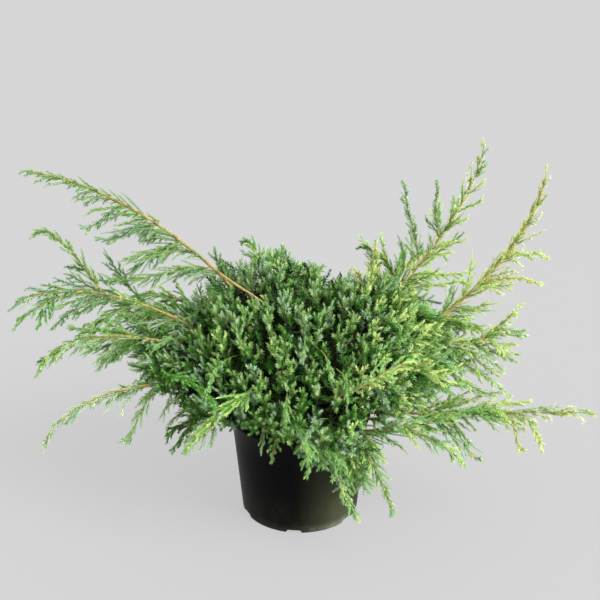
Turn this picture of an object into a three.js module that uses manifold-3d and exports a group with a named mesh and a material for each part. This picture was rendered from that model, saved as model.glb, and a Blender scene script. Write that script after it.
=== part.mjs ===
// Potted carpet juniper: a black nursery pot of compost, a short stem, long arching boughs, and masses of
// needle sprays that grow on from them. Millimetres, +Z up, the front is -Y.
// The origin is at the centre of the pot's flat underside.

import * as THREE from 'three';
import { mergeVertices } from 'three/addons/utils/BufferGeometryUtils.js';
import Module from 'manifold-3d';

const wasm = await Module();
wasm.setup();

// Pot
const POT_HEIGHT = 150;
const POT_BASE_RADIUS = 81;
const POT_RIM_RADIUS = 95;
const POT_WALL = 1.8;
const POT_FLOOR = 2.5;
const POT_SIDES = 36;
const LIP_REACH = 2.5;
const LIP_DEPTH = 6;
const LIP_BEVEL = 1;
const DRAIN_COUNT = 6;
const DRAIN_WIDTH = 20;
const DRAIN_HEIGHT = 4.5;
const DRAIN_DEPTH = 7;
const DRAIN_FIRST_HEADING = -96;

// Compost
const COMPOST_EDGE = 131;
const COMPOST_SHOULDER_RADIUS = 60;
const COMPOST_TOP = 136;

// Stem
const STEM_FLARE_RADIUS = 14;
const STEM_RADIUS = 8.6;
const STEM_SHOULDER_RADIUS = 7.6;
const STEM_FLARE_TOP = 143;
const STEM_SHOULDER = 184;
const STEM_TOP = 191;
const STEM_SIDES = 10;

// Limbs and twigs
const LIMB_SIDES = 4;
const LIMB_STEPS = 5;
const TWIG_SIDES = 3;
const LIMB_ROOT = 4;
const LIMB_PULL = 0.33;
const TIP_RADIUS = 0.9;
const FORK_RADIUS = 1.5;
const TWIG_RADIUS = 1.1;
const CROWN_STEM_RADIUS = 2;
const CROWN_TWIG_RADIUS = 1.4;

// Needle sprays: a whorl widens from a waist, and each is smaller than the one below it
const WHORL_TURN = 60;
const WHORL_WAIST = 0.45;
const WHORL_SHRINK = 0.45;
const WHORL_FOOT_AT = 0.05;
const WHORL_WIDEST_AT = 0.75;
const APEX_PITCH = 0.2;
const SPRAY_SLIMNESS = 5.4;
const SPRAY_LEAST_REACH = 3.2;
const LATERAL_WHORLS = 2;
const LATERAL_LEAFY_FROM = 0.2;
const LEADER_WHORLS = 3;
const LEADER_LEAFY_FROM = 0.7;
const LEADER_NEEDLE_REACH = 3.6;
const CROWN_WHORLS = 2;
const CROWN_LEAFY_FROM = 0.5;
const CROWN_NEEDLE_REACH = 9.5;

// Side shoots of a lateral
const SHOOT_ANGLE = 37;
const SHOOT_DROOP = 0.1;
const SHOOT_SHARE = 0.34;
const SHOOT_LENGTH = 0.5;
const SHOOT_REACH = 0.8;
const SHOOT_WIDEST_AT = 0.42;
const SHOOT_WAIST_AT = 0.54;
const SHOOT_WAIST = 0.5;
const SHOOTS_FROM_LENGTH = 42;

// Growth
const LATERAL_STEP = 3;
const LATERAL_SPREAD = 46;
const LATERAL_SPREAD_AT_TIP = 27;
const LATERAL_SCATTER = 70;
const LATERAL_TAPER = 0.74;
const LATERAL_SHORTEST = 0.8;
const LATERAL_LONGEST = 1.2;
const GOLDEN_TURN = 137.508;
const CROWN_BRANCHES = 88;
const CROWN_CENTRE = new THREE.Vector3(0, 0, 205);
const CROWN_RADII = new THREE.Vector3(222, 174, 176);
const CROWN_LOWEST = -0.3;
const CROWN_INNER = 0.95;
const CROWN_OUTER = 1.05;
const CROWN_LIFT = 0.12;

// Clearances
const SEAT_GAP = 0.3;
const NEIGHBOUR_GAP = 0.5;
const CORE_GAP = 1;

// Making
const MERGE = 1e-4;
const SMOOTH = 0.02;

const UP = new THREE.Vector3(0, 0, 1);

// Each limb leaves the stem at its start height and reaches its tip out at a heading and up at a height.
// Launch and nod are its slopes at the stem and at the tip, up and down. It is bare as far as its bare share
// and carries laterals beyond it; plume is their length, tilt their lean upwards and droop their sag.
const LIMBS = [
  { name: 'high_left', heading: 171, reach: 372, height: 474, launch: 72, nod: -4, start: 178,
    radius: 2.9, bare: 0.46, laterals: 21, plume: 96, droop: 0.55, tilt: -22 },
  { name: 'left_long', heading: 184, reach: 373, height: 322, launch: 42, nod: 24, start: 170,
    radius: 2.8, bare: 0.4, laterals: 18, plume: 104, droop: 0.3, tilt: 0 },
  { name: 'left_low', heading: 193, reach: 346, height: 254, launch: 42, nod: 46, start: 162,
    radius: 2.4, bare: 0.38, laterals: 18, plume: 98, droop: 0.35, tilt: 0 },
  { name: 'left_droop', heading: 203, reach: 356, height: 168, launch: 38, nod: 66, start: 154,
    radius: 2.4, bare: 0.38, laterals: 18, plume: 96, droop: 0.75, tilt: -20 },
  { name: 'left_skirt', heading: 196, reach: 185, height: 134, launch: 14, nod: 50, start: 146,
    radius: 2, bare: 0.56, laterals: 12, plume: 54, droop: 0.5, tilt: 0 },
  { name: 'front_left', heading: 226, reach: 208, height: 168, launch: 40, nod: 38, start: 160,
    radius: 2.1, bare: 0.5, laterals: 12, plume: 62, droop: 0.3, tilt: 0 },
  { name: 'right_high', heading: 22, reach: 268, height: 496, launch: 46, nod: -78, start: 174,
    radius: 2.8, bare: 0.4, laterals: 18, plume: 90, droop: -0.25, tilt: 10 },
  { name: 'right_outer', heading: 8, reach: 326, height: 476, launch: 26, nod: -84, start: 164,
    radius: 2.8, bare: 0.42, laterals: 18, plume: 92, droop: 0.05, tilt: 0 },
  { name: 'right_mid', heading: 38, reach: 270, height: 312, launch: 70, nod: 20, start: 182,
    radius: 2.2, bare: 0.44, laterals: 12, plume: 70, droop: 0.1, tilt: 15 },
  { name: 'right_level', heading: -8, reach: 285, height: 316, launch: 8, nod: -52, start: 174,
    radius: 2.3, bare: 0.4, laterals: 18, plume: 94, droop: 0.1, tilt: 0 },
  { name: 'right_arm', heading: -6, reach: 289, height: 236, launch: 40, nod: 30, start: 187,
    radius: 2.2, bare: 0.42, laterals: 18, plume: 92, droop: 0.25, tilt: 0 },
  { name: 'right_long', heading: -15, reach: 385, height: 198, launch: -2, nod: -6, start: 154,
    radius: 2.6, bare: 0.36, laterals: 21, plume: 96, droop: 0.35, tilt: 0 },
  { name: 'right_low', heading: -35, reach: 252, height: 150, launch: 14, nod: 50, sway: -22, start: 150,
    radius: 2.2, bare: 0.44, laterals: 18, plume: 78, droop: 0.35, tilt: 0 },
  { name: 'front_right', heading: -54, reach: 204, height: 84, launch: 52, nod: 62, start: 176,
    radius: 2.2, bare: 0.52, laterals: 12, plume: 48, droop: 0.3, tilt: 0 },
  { name: 'front_drop', heading: -62, reach: 158, height: 62, launch: 80, nod: 92, sway: -30, start: 184,
    radius: 2.1, bare: 0.54, laterals: 12, plume: 46, droop: 0.3, tilt: 0 },
  { name: 'front_hang', heading: 252, reach: 118, height: 132, launch: 70, nod: 80, start: 166,
    radius: 1.9, bare: 0.62, laterals: 9, plume: 42, droop: 0.4, tilt: 0 },
  { name: 'back_left', heading: 115, reach: 205, height: 322, launch: 66, nod: 40, start: 174,
    radius: 2.2, bare: 0.56, laterals: 9, plume: 52, droop: 0.1, tilt: 0 },
  { name: 'back_mid', heading: 88, reach: 300, height: 230, launch: 45, nod: 40, start: 164,
    radius: 2.4, bare: 0.42, laterals: 12, plume: 88, droop: 0.3, tilt: 0 },
  { name: 'back_right', heading: 54, reach: 290, height: 228, launch: 40, nod: 35, start: 160,
    radius: 2.3, bare: 0.42, laterals: 15, plume: 88, droop: 0.3, tilt: 0 },
  { name: 'back_low', heading: 138, reach: 290, height: 215, launch: 35, nod: 35, start: 158,
    radius: 2.3, bare: 0.42, laterals: 15, plume: 88, droop: 0.3, tilt: 0 },
  { name: 'left_back', heading: 156, reach: 262, height: 270, launch: 50, nod: 30, start: 164,
    radius: 2.2, bare: 0.42, laterals: 12, plume: 86, droop: 0.2, tilt: 0 },
  { name: 'right_back', heading: 12, reach: 250, height: 250, launch: 36, nod: 30, start: 182,
    radius: 2, bare: 0.44, laterals: 12, plume: 80, droop: 0.2, tilt: 0 },
];

// Side leaders that leave a limb inside its foliage: a run out at a heading, and a rise, from the fork
const FORKS = [
  { on: 'left_long', at: 0.7, heading: 178, run: 84, rise: 78, launch: 62, nod: 60, laterals: 6, plume: 34,
    droop: 0.1 },
  { on: 'left_long', at: 0.76, heading: 196, run: 96, rise: -46, launch: 0, nod: 60, laterals: 6, plume: 34,
    droop: 0.4 },
  { on: 'right_high', at: 0.55, heading: 200, run: 26, rise: 120, launch: 86, nod: -88, laterals: 9,
    plume: 36, droop: -0.3 },
  { on: 'right_high', at: 0.66, heading: 200, run: 8, rise: 82, launch: 60, nod: -88, laterals: 6, plume: 30,
    droop: -0.3 },
  { on: 'right_outer', at: 0.7, heading: 0, run: 62, rise: 0, launch: 30, nod: 40, laterals: 6, plume: 26,
    droop: 0.3 },
  { on: 'right_outer', at: 0.6, heading: 0, run: 84, rise: -2, launch: 25, nod: 34, laterals: 6, plume: 32,
    droop: 0.3 },
  { on: 'right_level', at: 0.8, heading: 0, run: 60, rise: 4, launch: 25, nod: 10, laterals: 6, plume: 26,
    droop: 0.3 },
  { on: 'right_long', at: 0.76, heading: -25, run: 40, rise: -52, launch: -10, nod: 72, laterals: 6,
    plume: 28, droop: 0.5 },
];

// Masses of the dense crown: each stands on its own stem, whose tip is the hub of a cushion-shaped core of
// its own size across, and that share of it deep
const CROWN_MASSES = [
  { name: 'crown_top', heading: 80, reach: 14, height: 316, launch: 86, nod: -84, start: 188,
    size: 84, depth: 0.5 },
  { name: 'crown_front_left', heading: 232, reach: 92, height: 282, launch: 70, nod: -60, start: 180,
    size: 80, depth: 0.52 },
  { name: 'crown_front_right', heading: 308, reach: 92, height: 282, launch: 70, nod: -60, start: 184,
    size: 80, depth: 0.52 },
  { name: 'crown_back_right', heading: 46, reach: 100, height: 280, launch: 66, nod: -60, start: 171,
    size: 80, depth: 0.52 },
  { name: 'crown_back_left', heading: 142, reach: 100, height: 280, launch: 66, nod: -60, start: 188,
    size: 80, depth: 0.52 },
  { name: 'skirt_front', heading: 270, reach: 106, height: 206, launch: 44, nod: 0, start: 150,
    size: 74, depth: 0.5 },
  { name: 'skirt_front_left', heading: 220, reach: 116, height: 204, launch: 44, nod: 0, start: 152,
    size: 70, depth: 0.56 },
  { name: 'skirt_front_right', heading: 318, reach: 118, height: 200, launch: 44, nod: 0, start: 150,
    size: 72, depth: 0.56 },
  { name: 'skirt_left', heading: 184, reach: 132, height: 232, launch: 50, nod: 0, start: 178,
    size: 66, depth: 1.1 },
  { name: 'skirt_right', heading: 356, reach: 138, height: 230, launch: 40, nod: 0, start: 164,
    size: 68, depth: 1.15 },
  { name: 'skirt_back_left', heading: 128, reach: 122, height: 212, launch: 44, nod: 0, start: 150,
    size: 72, depth: 0.56 },
  { name: 'skirt_back_right', heading: 58, reach: 122, height: 212, launch: 44, nod: 0, start: 150,
    size: 72, depth: 0.56 },
];
const CORE_HOLLOWS = 0.72;
const CORE_AROUND = 8;
const CORE_RINGS = 6;
const CORE_LOWEST = 156;

// Finishes
const finishes = {
  pot: new THREE.MeshStandardMaterial({ color: 0x16161a, roughness: 0.42, metalness: 0 }),
  compost: new THREE.MeshStandardMaterial({ color: 0x2a1d13, roughness: 0.95, metalness: 0 }),
  bark: new THREE.MeshStandardMaterial({ color: 0x8a5a34, roughness: 0.85, metalness: 0 }),
  whip: new THREE.MeshStandardMaterial({ color: 0x86a860, roughness: 0.7, metalness: 0 }),
  crown: new THREE.MeshStandardMaterial({ color: 0x4c7340, roughness: 0.7, metalness: 0 }),
};

const juniper = new THREE.Group();

// Small helpers

const radians = THREE.MathUtils.degToRad;
const mix = THREE.MathUtils.lerp;

function outward(heading) {
  return new THREE.Vector3(Math.cos(radians(heading)), Math.sin(radians(heading)), 0);
}

// A repeatable number from 0 to 1 for one twig, so that the same plant grows each time
function chance(plant, twig, salt) {
  let mixed = Math.imul(plant + 1, 374761393) + Math.imul(twig + 1, 668265263) + Math.imul(salt + 1, 40503);
  mixed = Math.imul(mixed ^ (mixed >>> 13), 1274126177);
  return ((mixed ^ (mixed >>> 16)) >>> 0) / 4294967296;
}

// Solids

function solidOf(geometry) {
  const bare = geometry.clone();
  bare.deleteAttribute('normal');
  bare.deleteAttribute('uv');
  const merged = mergeVertices(bare, MERGE);
  const corners = merged.index.array;
  const faces = [];
  for (let i = 0; i < corners.length; i += 3) {
    const [a, b, c] = [corners[i], corners[i + 1], corners[i + 2]];
    if (a !== b && b !== c && c !== a) faces.push(a, b, c);
  }
  const vertProperties = new Float32Array(merged.attributes.position.array);
  return new wasm.Manifold(new wasm.Mesh({ numProp: 3, vertProperties, triVerts: new Uint32Array(faces) }));
}

function geometryOf(solid) {
  const { vertProperties, triVerts } = solid.getMesh();
  const geometry = new THREE.BufferGeometry();
  geometry.setAttribute('position', new THREE.BufferAttribute(vertProperties, 3));
  geometry.setIndex(new THREE.BufferAttribute(triVerts, 1));
  geometry.computeVertexNormals();
  return geometry;
}

// Joins the solids, cuts them clear of their neighbours, and keeps the one body: scraps and sealed hollows go
function fuse(solids, neighbours = []) {
  let whole = wasm.Manifold.union(solids);
  for (const neighbour of neighbours) whole = whole.subtract(neighbour);
  const bodies = whole.simplify(SMOOTH).decompose();
  return bodies.reduce((largest, body) => (body.volume() > largest.volume() ? body : largest));
}

function addPart(name, solid, finish) {
  const mesh = new THREE.Mesh(geometryOf(solid), finish);
  mesh.name = name;
  juniper.add(mesh);
}

// A turned form whose outline is a list of [radius, height]
function turned(outline, sides) {
  return new THREE.LatheGeometry(outline.map(([radius, height]) => new THREE.Vector2(radius, height)), sides);
}

function standing(outline, sides) {
  return solidOf(turned(outline, sides).rotateX(Math.PI / 2));
}

// A turned form of [share, radius] stations, bent along a curve and twisted a little at each station
function sweep(curve, stations, sides, twist = 0) {
  const outline = stations.map(([share, radius]) => [radius, share]);
  if (outline[0][0] > 0) outline.unshift([0, outline[0][1]]);
  if (outline.at(-1)[0] > 0) outline.push([0, outline.at(-1)[1]]);
  const form = turned(outline, sides);
  const place = form.attributes.position;
  const side = curve.getTangent(stations[0][0]).cross(UP).normalize();
  const axis = new THREE.Vector2();
  const spot = new THREE.Vector2();
  for (let i = 0; i < place.count; i++) {
    const share = place.getY(i);
    const along = curve.getTangent(share);
    const across = side.clone().addScaledVector(along, -side.dot(along)).normalize();
    const over = across.clone().cross(along);
    spot.set(place.getX(i), place.getZ(i)).rotateAround(axis, -radians(twist) * (i % outline.length));
    const point = curve.getPoint(share).addScaledVector(across, spot.x).addScaledVector(over, spot.y);
    place.setXYZ(i, point.x, point.y, point.z);
  }
  return solidOf(form);
}

// Clearance: what is already grown keeps a neighbour's twigs out

const grown = [];

function boxesMeet(one, other) {
  return [0, 1, 2].every((axis) => one.min[axis] < other.max[axis] && other.min[axis] < one.max[axis]);
}

function grow(solid, node) {
  grown.push({ node, solid, box: solid.boundingBox() });
}

// Whether a form with its spare room meets nothing of another node
function hasRoom(room, node) {
  const box = room.boundingBox();
  const near = grown.filter((other) => other.node !== node && boxesMeet(box, other.box));
  return near.every((other) => room.intersect(other.solid).isEmpty());
}

function spaced(stations) {
  return stations.map(([share, radius]) => [share, radius + NEIGHBOUR_GAP]);
}

// Curves

// From a start, out along a heading and up to a tip, with the slopes at both ends and a sway to one side
function archTo(start, heading, run, rise, launch, nod, sway = 0) {
  const out = outward(heading);
  const side = outward(heading + 90);
  const tip = start.clone().addScaledVector(out, run).addScaledVector(UP, rise);
  const pull = start.distanceTo(tip) * LIMB_PULL;
  const leaving = start.clone()
    .addScaledVector(out, Math.cos(radians(launch)) * pull)
    .addScaledVector(UP, Math.sin(radians(launch)) * pull)
    .addScaledVector(side, sway);
  const arriving = tip.clone()
    .addScaledVector(out, -Math.cos(radians(nod)) * pull)
    .addScaledVector(UP, Math.sin(radians(nod)) * pull)
    .addScaledVector(side, sway);
  return new THREE.CubicBezierCurve3(start, leaving, arriving, tip);
}

function limbCurve(limb) {
  const start = outward(limb.heading).multiplyScalar(LIMB_ROOT).setZ(limb.start);
  const rise = limb.height - limb.start;
  return archTo(start, limb.heading, limb.reach - LIMB_ROOT, rise, limb.launch, limb.nod, limb.sway);
}

// A twig that leaves along a direction and bends down, or up where the droop is negative
function twigCurve(root, direction, length, droop) {
  const knee = root.clone().addScaledVector(direction, length * 0.5);
  const lean = direction.clone().addScaledVector(UP, -droop).normalize();
  return new THREE.QuadraticBezierCurve3(root, knee, knee.clone().addScaledVector(lean, length * 0.5));
}

// Needle sprays: a slim core whose whorls of three needles stand out and lean forward

function shootStations(reach) {
  return [[0, 0], [SHOOT_WIDEST_AT, reach], [SHOOT_WAIST_AT, reach * SHOOT_WAIST], [1, 0]];
}

function whorlStations(from, reach, whorls) {
  const stations = [];
  const pitch = (1 - from) / (whorls + APEX_PITCH);
  for (let i = 0; i < whorls; i++) {
    const wide = reach * (1 - WHORL_SHRINK * i / whorls);
    if (i > 0) stations.push([from + pitch * (i + WHORL_FOOT_AT), wide * WHORL_WAIST]);
    stations.push([from + pitch * (i + WHORL_WIDEST_AT), wide]);
  }
  return [...stations, [1, 0]];
}

// A shoot leaves its twig at a narrow angle, to one side
function shootCurve(twig, share, spin, length) {
  const along = twig.getTangent(share);
  const across = along.clone().cross(UP).normalize().applyAxisAngle(along, radians(spin));
  const direction = along.multiplyScalar(Math.cos(radians(SHOOT_ANGLE)))
    .addScaledVector(across, Math.sin(radians(SHOOT_ANGLE)));
  return twigCurve(twig.getPoint(share), direction, length, SHOOT_DROOP);
}

// A spray is grown only where it has room; the list it gives back is empty or holds its one solid
function spraySolids(node, curve, stations) {
  if (!hasRoom(sweep(curve, spaced(stations), TWIG_SIDES, WHORL_TURN), node)) return [];
  const spray = sweep(curve, stations, TWIG_SIDES, WHORL_TURN);
  grow(spray, node);
  return [spray];
}

function sprayReach(length) {
  return Math.max(length / SPRAY_SLIMNESS, SPRAY_LEAST_REACH);
}

// Leaders and their laterals

function limbLeader(limb, curve) {
  const from = limb.bare + 2 * SEAT_GAP / curve.getLength();
  return { ...limb, curve, from, foot: mix(limb.radius, TIP_RADIUS, from) };
}

function forkLeader(fork, limbsCurve) {
  const root = limbsCurve.getPoint(fork.at);
  const curve = archTo(root, fork.heading, fork.run, fork.rise, fork.launch, fork.nod);
  return { ...fork, curve, from: 0, foot: FORK_RADIUS, tilt: 0 };
}

function leaderStations({ from, foot }) {
  const bare = [0, 0.25, 0.5].map((part) => [mix(from, 1, part), mix(foot, TIP_RADIUS, part)]);
  return [...bare, ...whorlStations(mix(from, 1, LEADER_LEAFY_FROM), LEADER_NEEDLE_REACH, LEADER_WHORLS)];
}

function boughStations({ bare, radius }) {
  const stations = [];
  for (let step = 0; step <= LIMB_STEPS; step++) {
    const share = bare * step / LIMB_STEPS;
    stations.push([share, mix(radius, TIP_RADIUS, share)]);
  }
  return stations;
}

// Laterals leave their leader to alternate sides, shorter and more forward near its tip
function lateralCurve(leader, plant, index) {
  const share = (index + 0.5) / leader.laterals;
  const t = mix(leader.from, 1, share);
  const along = leader.curve.getTangent(t);
  const across = along.clone().cross(UP).normalize();
  const above = across.clone().cross(along);
  const flank = index % 2 === 0 ? 1 : -1;
  const roll = radians(leader.tilt + LATERAL_SCATTER * (chance(plant, index, 1) - 0.5));
  const aside = across.multiplyScalar(flank * Math.cos(roll)).addScaledVector(above, Math.sin(roll));
  const spread = radians(mix(LATERAL_SPREAD, LATERAL_SPREAD_AT_TIP, share));
  const direction = along.multiplyScalar(Math.cos(spread)).addScaledVector(aside, Math.sin(spread));
  const vigour = mix(LATERAL_SHORTEST, LATERAL_LONGEST, chance(plant, index, 2));
  const length = leader.plume * (1 - LATERAL_TAPER * share) * vigour;
  return twigCurve(leader.curve.getPoint(t), direction, length, leader.droop);
}

function lateralSolids(leader, plant) {
  const solids = [];
  for (let index = 1; index < leader.laterals; index += LATERAL_STEP) {
    const twig = lateralCurve(leader, plant, index);
    const length = twig.getLength();
    const reach = sprayReach(length);
    const whorls = whorlStations(LATERAL_LEAFY_FROM, reach, LATERAL_WHORLS);
    const lateral = spraySolids(leader.node, twig, [[0, TWIG_RADIUS], ...whorls]);
    solids.push(...lateral);
    if (lateral.length === 0 || length < SHOOTS_FROM_LENGTH) continue;
    const shoot = shootCurve(twig, SHOOT_SHARE, 360 * chance(plant, index, 3), length * SHOOT_LENGTH);
    solids.push(...spraySolids(leader.node, shoot, shootStations(reach * SHOOT_REACH)));
  }
  return solids;
}

// Crown

// The tips of the crown's branches lie evenly over a low dome, a little in and out
function crownTip(index) {
  const rise = mix(CROWN_LOWEST, 1, (index + 0.5) / CROWN_BRANCHES);
  const level = Math.sqrt(1 - rise * rise);
  const swell = mix(CROWN_INNER, CROWN_OUTER, chance(0, index, 4));
  const tip = outward(index * GOLDEN_TURN).multiplyScalar(level).setZ(rise);
  return tip.multiply(CROWN_RADII).multiplyScalar(swell).add(CROWN_CENTRE);
}

// A crown branch curves up and out from its mass's hub
function crownBranch(hub, tip) {
  const knee = hub.clone().lerp(tip, 0.5).addScaledVector(UP, CROWN_LIFT * hub.distanceTo(tip));
  return new THREE.QuadraticBezierCurve3(hub, knee, tip);
}

// A core is a bristly cushion that faces out from the crown's centre, cut back where its neighbours begin
function coreSolid(hub, { size, depth }, otherHubs) {
  const facing = hub.clone().sub(CROWN_CENTRE).normalize();
  const turn = new THREE.Quaternion().setFromUnitVectors(UP, facing);
  const cushion = new THREE.SphereGeometry(size, CORE_AROUND, CORE_RINGS);
  const place = cushion.attributes.position;
  const corner = new THREE.Vector3();
  for (let i = 0; i < place.count; i++) {
    const ring = Math.floor(i / (CORE_AROUND + 1));
    const step = i % (CORE_AROUND + 1) % CORE_AROUND;
    const onPole = ring === 0 || ring === CORE_RINGS;
    const swell = onPole || (ring + step) % 2 === 0 ? 1 : CORE_HOLLOWS;
    corner.fromBufferAttribute(place, i).multiplyScalar(swell);
    place.setXYZ(i, corner.x, corner.y, corner.z);
  }
  cushion.rotateX(Math.PI / 2).scale(1, 1, depth).applyQuaternion(turn);
  cushion.translate(hub.x, hub.y, hub.z);
  let core = solidOf(cushion);
  for (const other of otherHubs) {
    const away = hub.clone().sub(other).normalize();
    const edge = away.dot(hub.clone().lerp(other, 0.5)) + CORE_GAP / 2;
    core = core.trimByPlane(away.toArray(), edge);
  }
  return core.trimByPlane(UP.toArray(), CORE_LOWEST);
}

// Pot: a thin tapered tub with a rolled lip, and drain slots through the corner of wall and floor

function potWallRadius(height) {
  return mix(POT_BASE_RADIUS, POT_RIM_RADIUS, height / POT_HEIGHT);
}

function makePot() {
  const lipBase = POT_HEIGHT - LIP_DEPTH;
  const lipRadius = POT_RIM_RADIUS + LIP_REACH;
  const tub = standing([
    [0, 0],
    [POT_BASE_RADIUS, 0],
    [potWallRadius(lipBase), lipBase],
    [lipRadius, lipBase + LIP_BEVEL],
    [lipRadius, POT_HEIGHT - LIP_BEVEL],
    [lipRadius - LIP_BEVEL, POT_HEIGHT],
    [POT_RIM_RADIUS - POT_WALL, POT_HEIGHT],
    [potWallRadius(POT_FLOOR) - POT_WALL, POT_FLOOR],
    [0, POT_FLOOR],
  ], POT_SIDES);
  const slots = [];
  for (let i = 0; i < DRAIN_COUNT; i++) {
    const slot = new THREE.BoxGeometry(DRAIN_DEPTH * 2, DRAIN_WIDTH, DRAIN_HEIGHT * 2);
    slot.translate(POT_BASE_RADIUS, 0, 0).rotateZ(radians(DRAIN_FIRST_HEADING + (360 / DRAIN_COUNT) * i));
    slots.push(solidOf(slot));
  }
  return fuse([tub], slots);
}

function makeCompost() {
  const inset = POT_WALL + SEAT_GAP;
  const bottom = POT_FLOOR + SEAT_GAP;
  return standing([
    [0, bottom],
    [potWallRadius(bottom) - inset, bottom],
    [potWallRadius(COMPOST_EDGE) - inset, COMPOST_EDGE],
    [COMPOST_SHOULDER_RADIUS, COMPOST_TOP],
    [0, COMPOST_TOP],
  ], POT_SIDES);
}

// Stem: cut flat where it stands on the compost, flared at its foot and rounded where the boughs part
function makeStem(spare = 0) {
  const foot = COMPOST_TOP + SEAT_GAP - spare;
  return standing([
    [0, foot],
    [STEM_FLARE_RADIUS + spare, foot],
    [STEM_RADIUS + spare, STEM_FLARE_TOP],
    [STEM_SHOULDER_RADIUS + spare, STEM_SHOULDER],
    [0, STEM_TOP + spare],
  ], STEM_SIDES);
}

// Growing the plant: limbs first, then the crown's cores round them, then sprays where there is room

const aroundStem = makeStem(SEAT_GAP);
const aroundLimbs = [];
const masses = new Map();
const leaders = [];

for (const limb of LIMBS) {
  const curve = limbCurve(limb);
  const bough = fuse([sweep(curve, boughStations(limb), LIMB_SIDES)], [aroundStem]);
  addPart(`bough_${limb.name}`, bough, finishes.bark);
  grow(bough, `bough_${limb.name}`);
  aroundLimbs.push(sweep(curve, spaced(boughStations(limb)), LIMB_SIDES));
  const forks = FORKS.filter((fork) => fork.on === limb.name).map((fork) => forkLeader(fork, curve));
  const node = `foliage_${limb.name}`;
  masses.set(node, { solids: [], neighbours: [], finish: finishes.whip });
  for (const leader of [limbLeader(limb, curve), ...forks]) {
    const solid = sweep(leader.curve, leaderStations(leader), TWIG_SIDES, WHORL_TURN);
    grow(solid, node);
    aroundLimbs.push(sweep(leader.curve, spaced(leaderStations(leader)), TWIG_SIDES, WHORL_TURN));
    masses.get(node).solids.push(solid);
    leaders.push({ ...leader, node });
  }
}

const hubs = CROWN_MASSES.map((mass) => limbCurve(mass).getPoint(1));
for (const [i, mass] of CROWN_MASSES.entries()) {
  const node = `foliage_${mass.name}`;
  const stations = [0, 0.25, 0.5, 0.75, 1].map((share) => [share, CROWN_STEM_RADIUS]);
  const stem = sweep(limbCurve(mass), stations, LIMB_SIDES);
  const core = coreSolid(hubs[i], mass, hubs.filter((hub) => hub !== hubs[i]));
  const neighbours = [aroundStem, ...aroundLimbs];
  masses.set(node, { solids: [stem, core], neighbours, finish: finishes.crown });
  grow(stem, node);
  grow(core, node);
}

for (let index = 0; index < CROWN_BRANCHES; index++) {
  const tip = crownTip(index);
  const distances = hubs.map((hub) => hub.distanceTo(tip));
  const nearest = distances.indexOf(Math.min(...distances));
  const node = `foliage_${CROWN_MASSES[nearest].name}`;
  const branch = crownBranch(hubs[nearest], tip);
  const whorls = whorlStations(CROWN_LEAFY_FROM, CROWN_NEEDLE_REACH, CROWN_WHORLS);
  masses.get(node).solids.push(...spraySolids(node, branch, [[0, CROWN_TWIG_RADIUS], ...whorls]));
}

for (const [plant, leader] of leaders.entries()) {
  masses.get(leader.node).solids.push(...lateralSolids(leader, plant + 1));
}

addPart('pot', makePot(), finishes.pot);
addPart('compost', makeCompost(), finishes.compost);
addPart('stem', makeStem(), finishes.bark);
for (const [node, mass] of masses) addPart(node, fuse(mass.solids, mass.neighbours), mass.finish);

export default juniper;
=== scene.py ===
"""A potted carpet juniper, dressed for the studio.

The limbs, their laterals and the crown's branches follow the same rule and the same named sizes as
the part's source. Here they grow on to finer shoots, whorls and needles. Sizes are in millimetres
until a mesh is made.
"""

import math
from types import SimpleNamespace

import bpy
import numpy as np
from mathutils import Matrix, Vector


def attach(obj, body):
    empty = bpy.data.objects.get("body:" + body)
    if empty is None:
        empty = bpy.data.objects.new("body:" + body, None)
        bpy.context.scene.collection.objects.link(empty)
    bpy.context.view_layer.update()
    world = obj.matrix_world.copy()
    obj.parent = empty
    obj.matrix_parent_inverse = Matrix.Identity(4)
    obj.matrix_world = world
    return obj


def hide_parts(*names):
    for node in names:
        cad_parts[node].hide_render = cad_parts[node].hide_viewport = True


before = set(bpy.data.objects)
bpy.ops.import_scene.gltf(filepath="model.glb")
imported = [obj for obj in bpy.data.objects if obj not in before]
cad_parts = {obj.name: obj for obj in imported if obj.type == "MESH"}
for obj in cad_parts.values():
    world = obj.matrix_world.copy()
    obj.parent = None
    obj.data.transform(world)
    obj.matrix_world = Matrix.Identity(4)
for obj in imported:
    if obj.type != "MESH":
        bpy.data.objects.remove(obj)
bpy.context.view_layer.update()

MM = 0.001
UP = np.array([0.0, 0.0, 1.0])

# Pot
POT_HEIGHT = 150
POT_BASE_RADIUS = 81
POT_RIM_RADIUS = 95
POT_WALL = 1.8
POT_FLOOR = 2.5
LIP_RADIUS = 97.5
LIP_DEPTH = 6
DRAIN_COUNT = 6
DRAIN_WIDTH = 20
DRAIN_HEIGHT = 4.5
DRAIN_DEPTH = 7
DRAIN_FIRST_HEADING = -96

# Compost
COMPOST_EDGE = 131
COMPOST_TOP = 136
COMPOST_SHOULDER_RADIUS = 60

# Stem
STEM_FLARE_RADIUS = 14
STEM_RADIUS = 8.6
STEM_SHOULDER_RADIUS = 7.6
STEM_FLARE_TOP = 143
STEM_SHOULDER = 184
STEM_TOP = 191

# Limbs and laterals
SEAT_GAP = 0.3
LIMB_ROOT = 4
LIMB_PULL = 0.33
TIP_RADIUS = 0.9
FORK_RADIUS = 1.5
STREAMER_RADIUS = 1.1
LATERAL_SPREAD = 46
LATERAL_SPREAD_AT_TIP = 27
LATERAL_SCATTER = 70
LATERAL_TAPER = 0.74
LATERAL_SHORTEST = 0.8
LATERAL_LONGEST = 1.2

# Crown
GOLDEN_TURN = 137.508
CROWN_CENTRE = np.array([0.0, 0.0, 205.0])
CROWN_RADII = np.array([222.0, 174.0, 176.0])
CROWN_LOWEST = -0.3
CROWN_INNER = 0.95
CROWN_OUTER = 1.05
CROWN_LIFT = 0.12


def rows(columns, *table, **usual):
    """Records from rows in the order of the columns. A short row takes the usual values for the rest."""
    return [SimpleNamespace(**{**usual, **dict(zip(columns.split(), row))}) for row in table]


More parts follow.
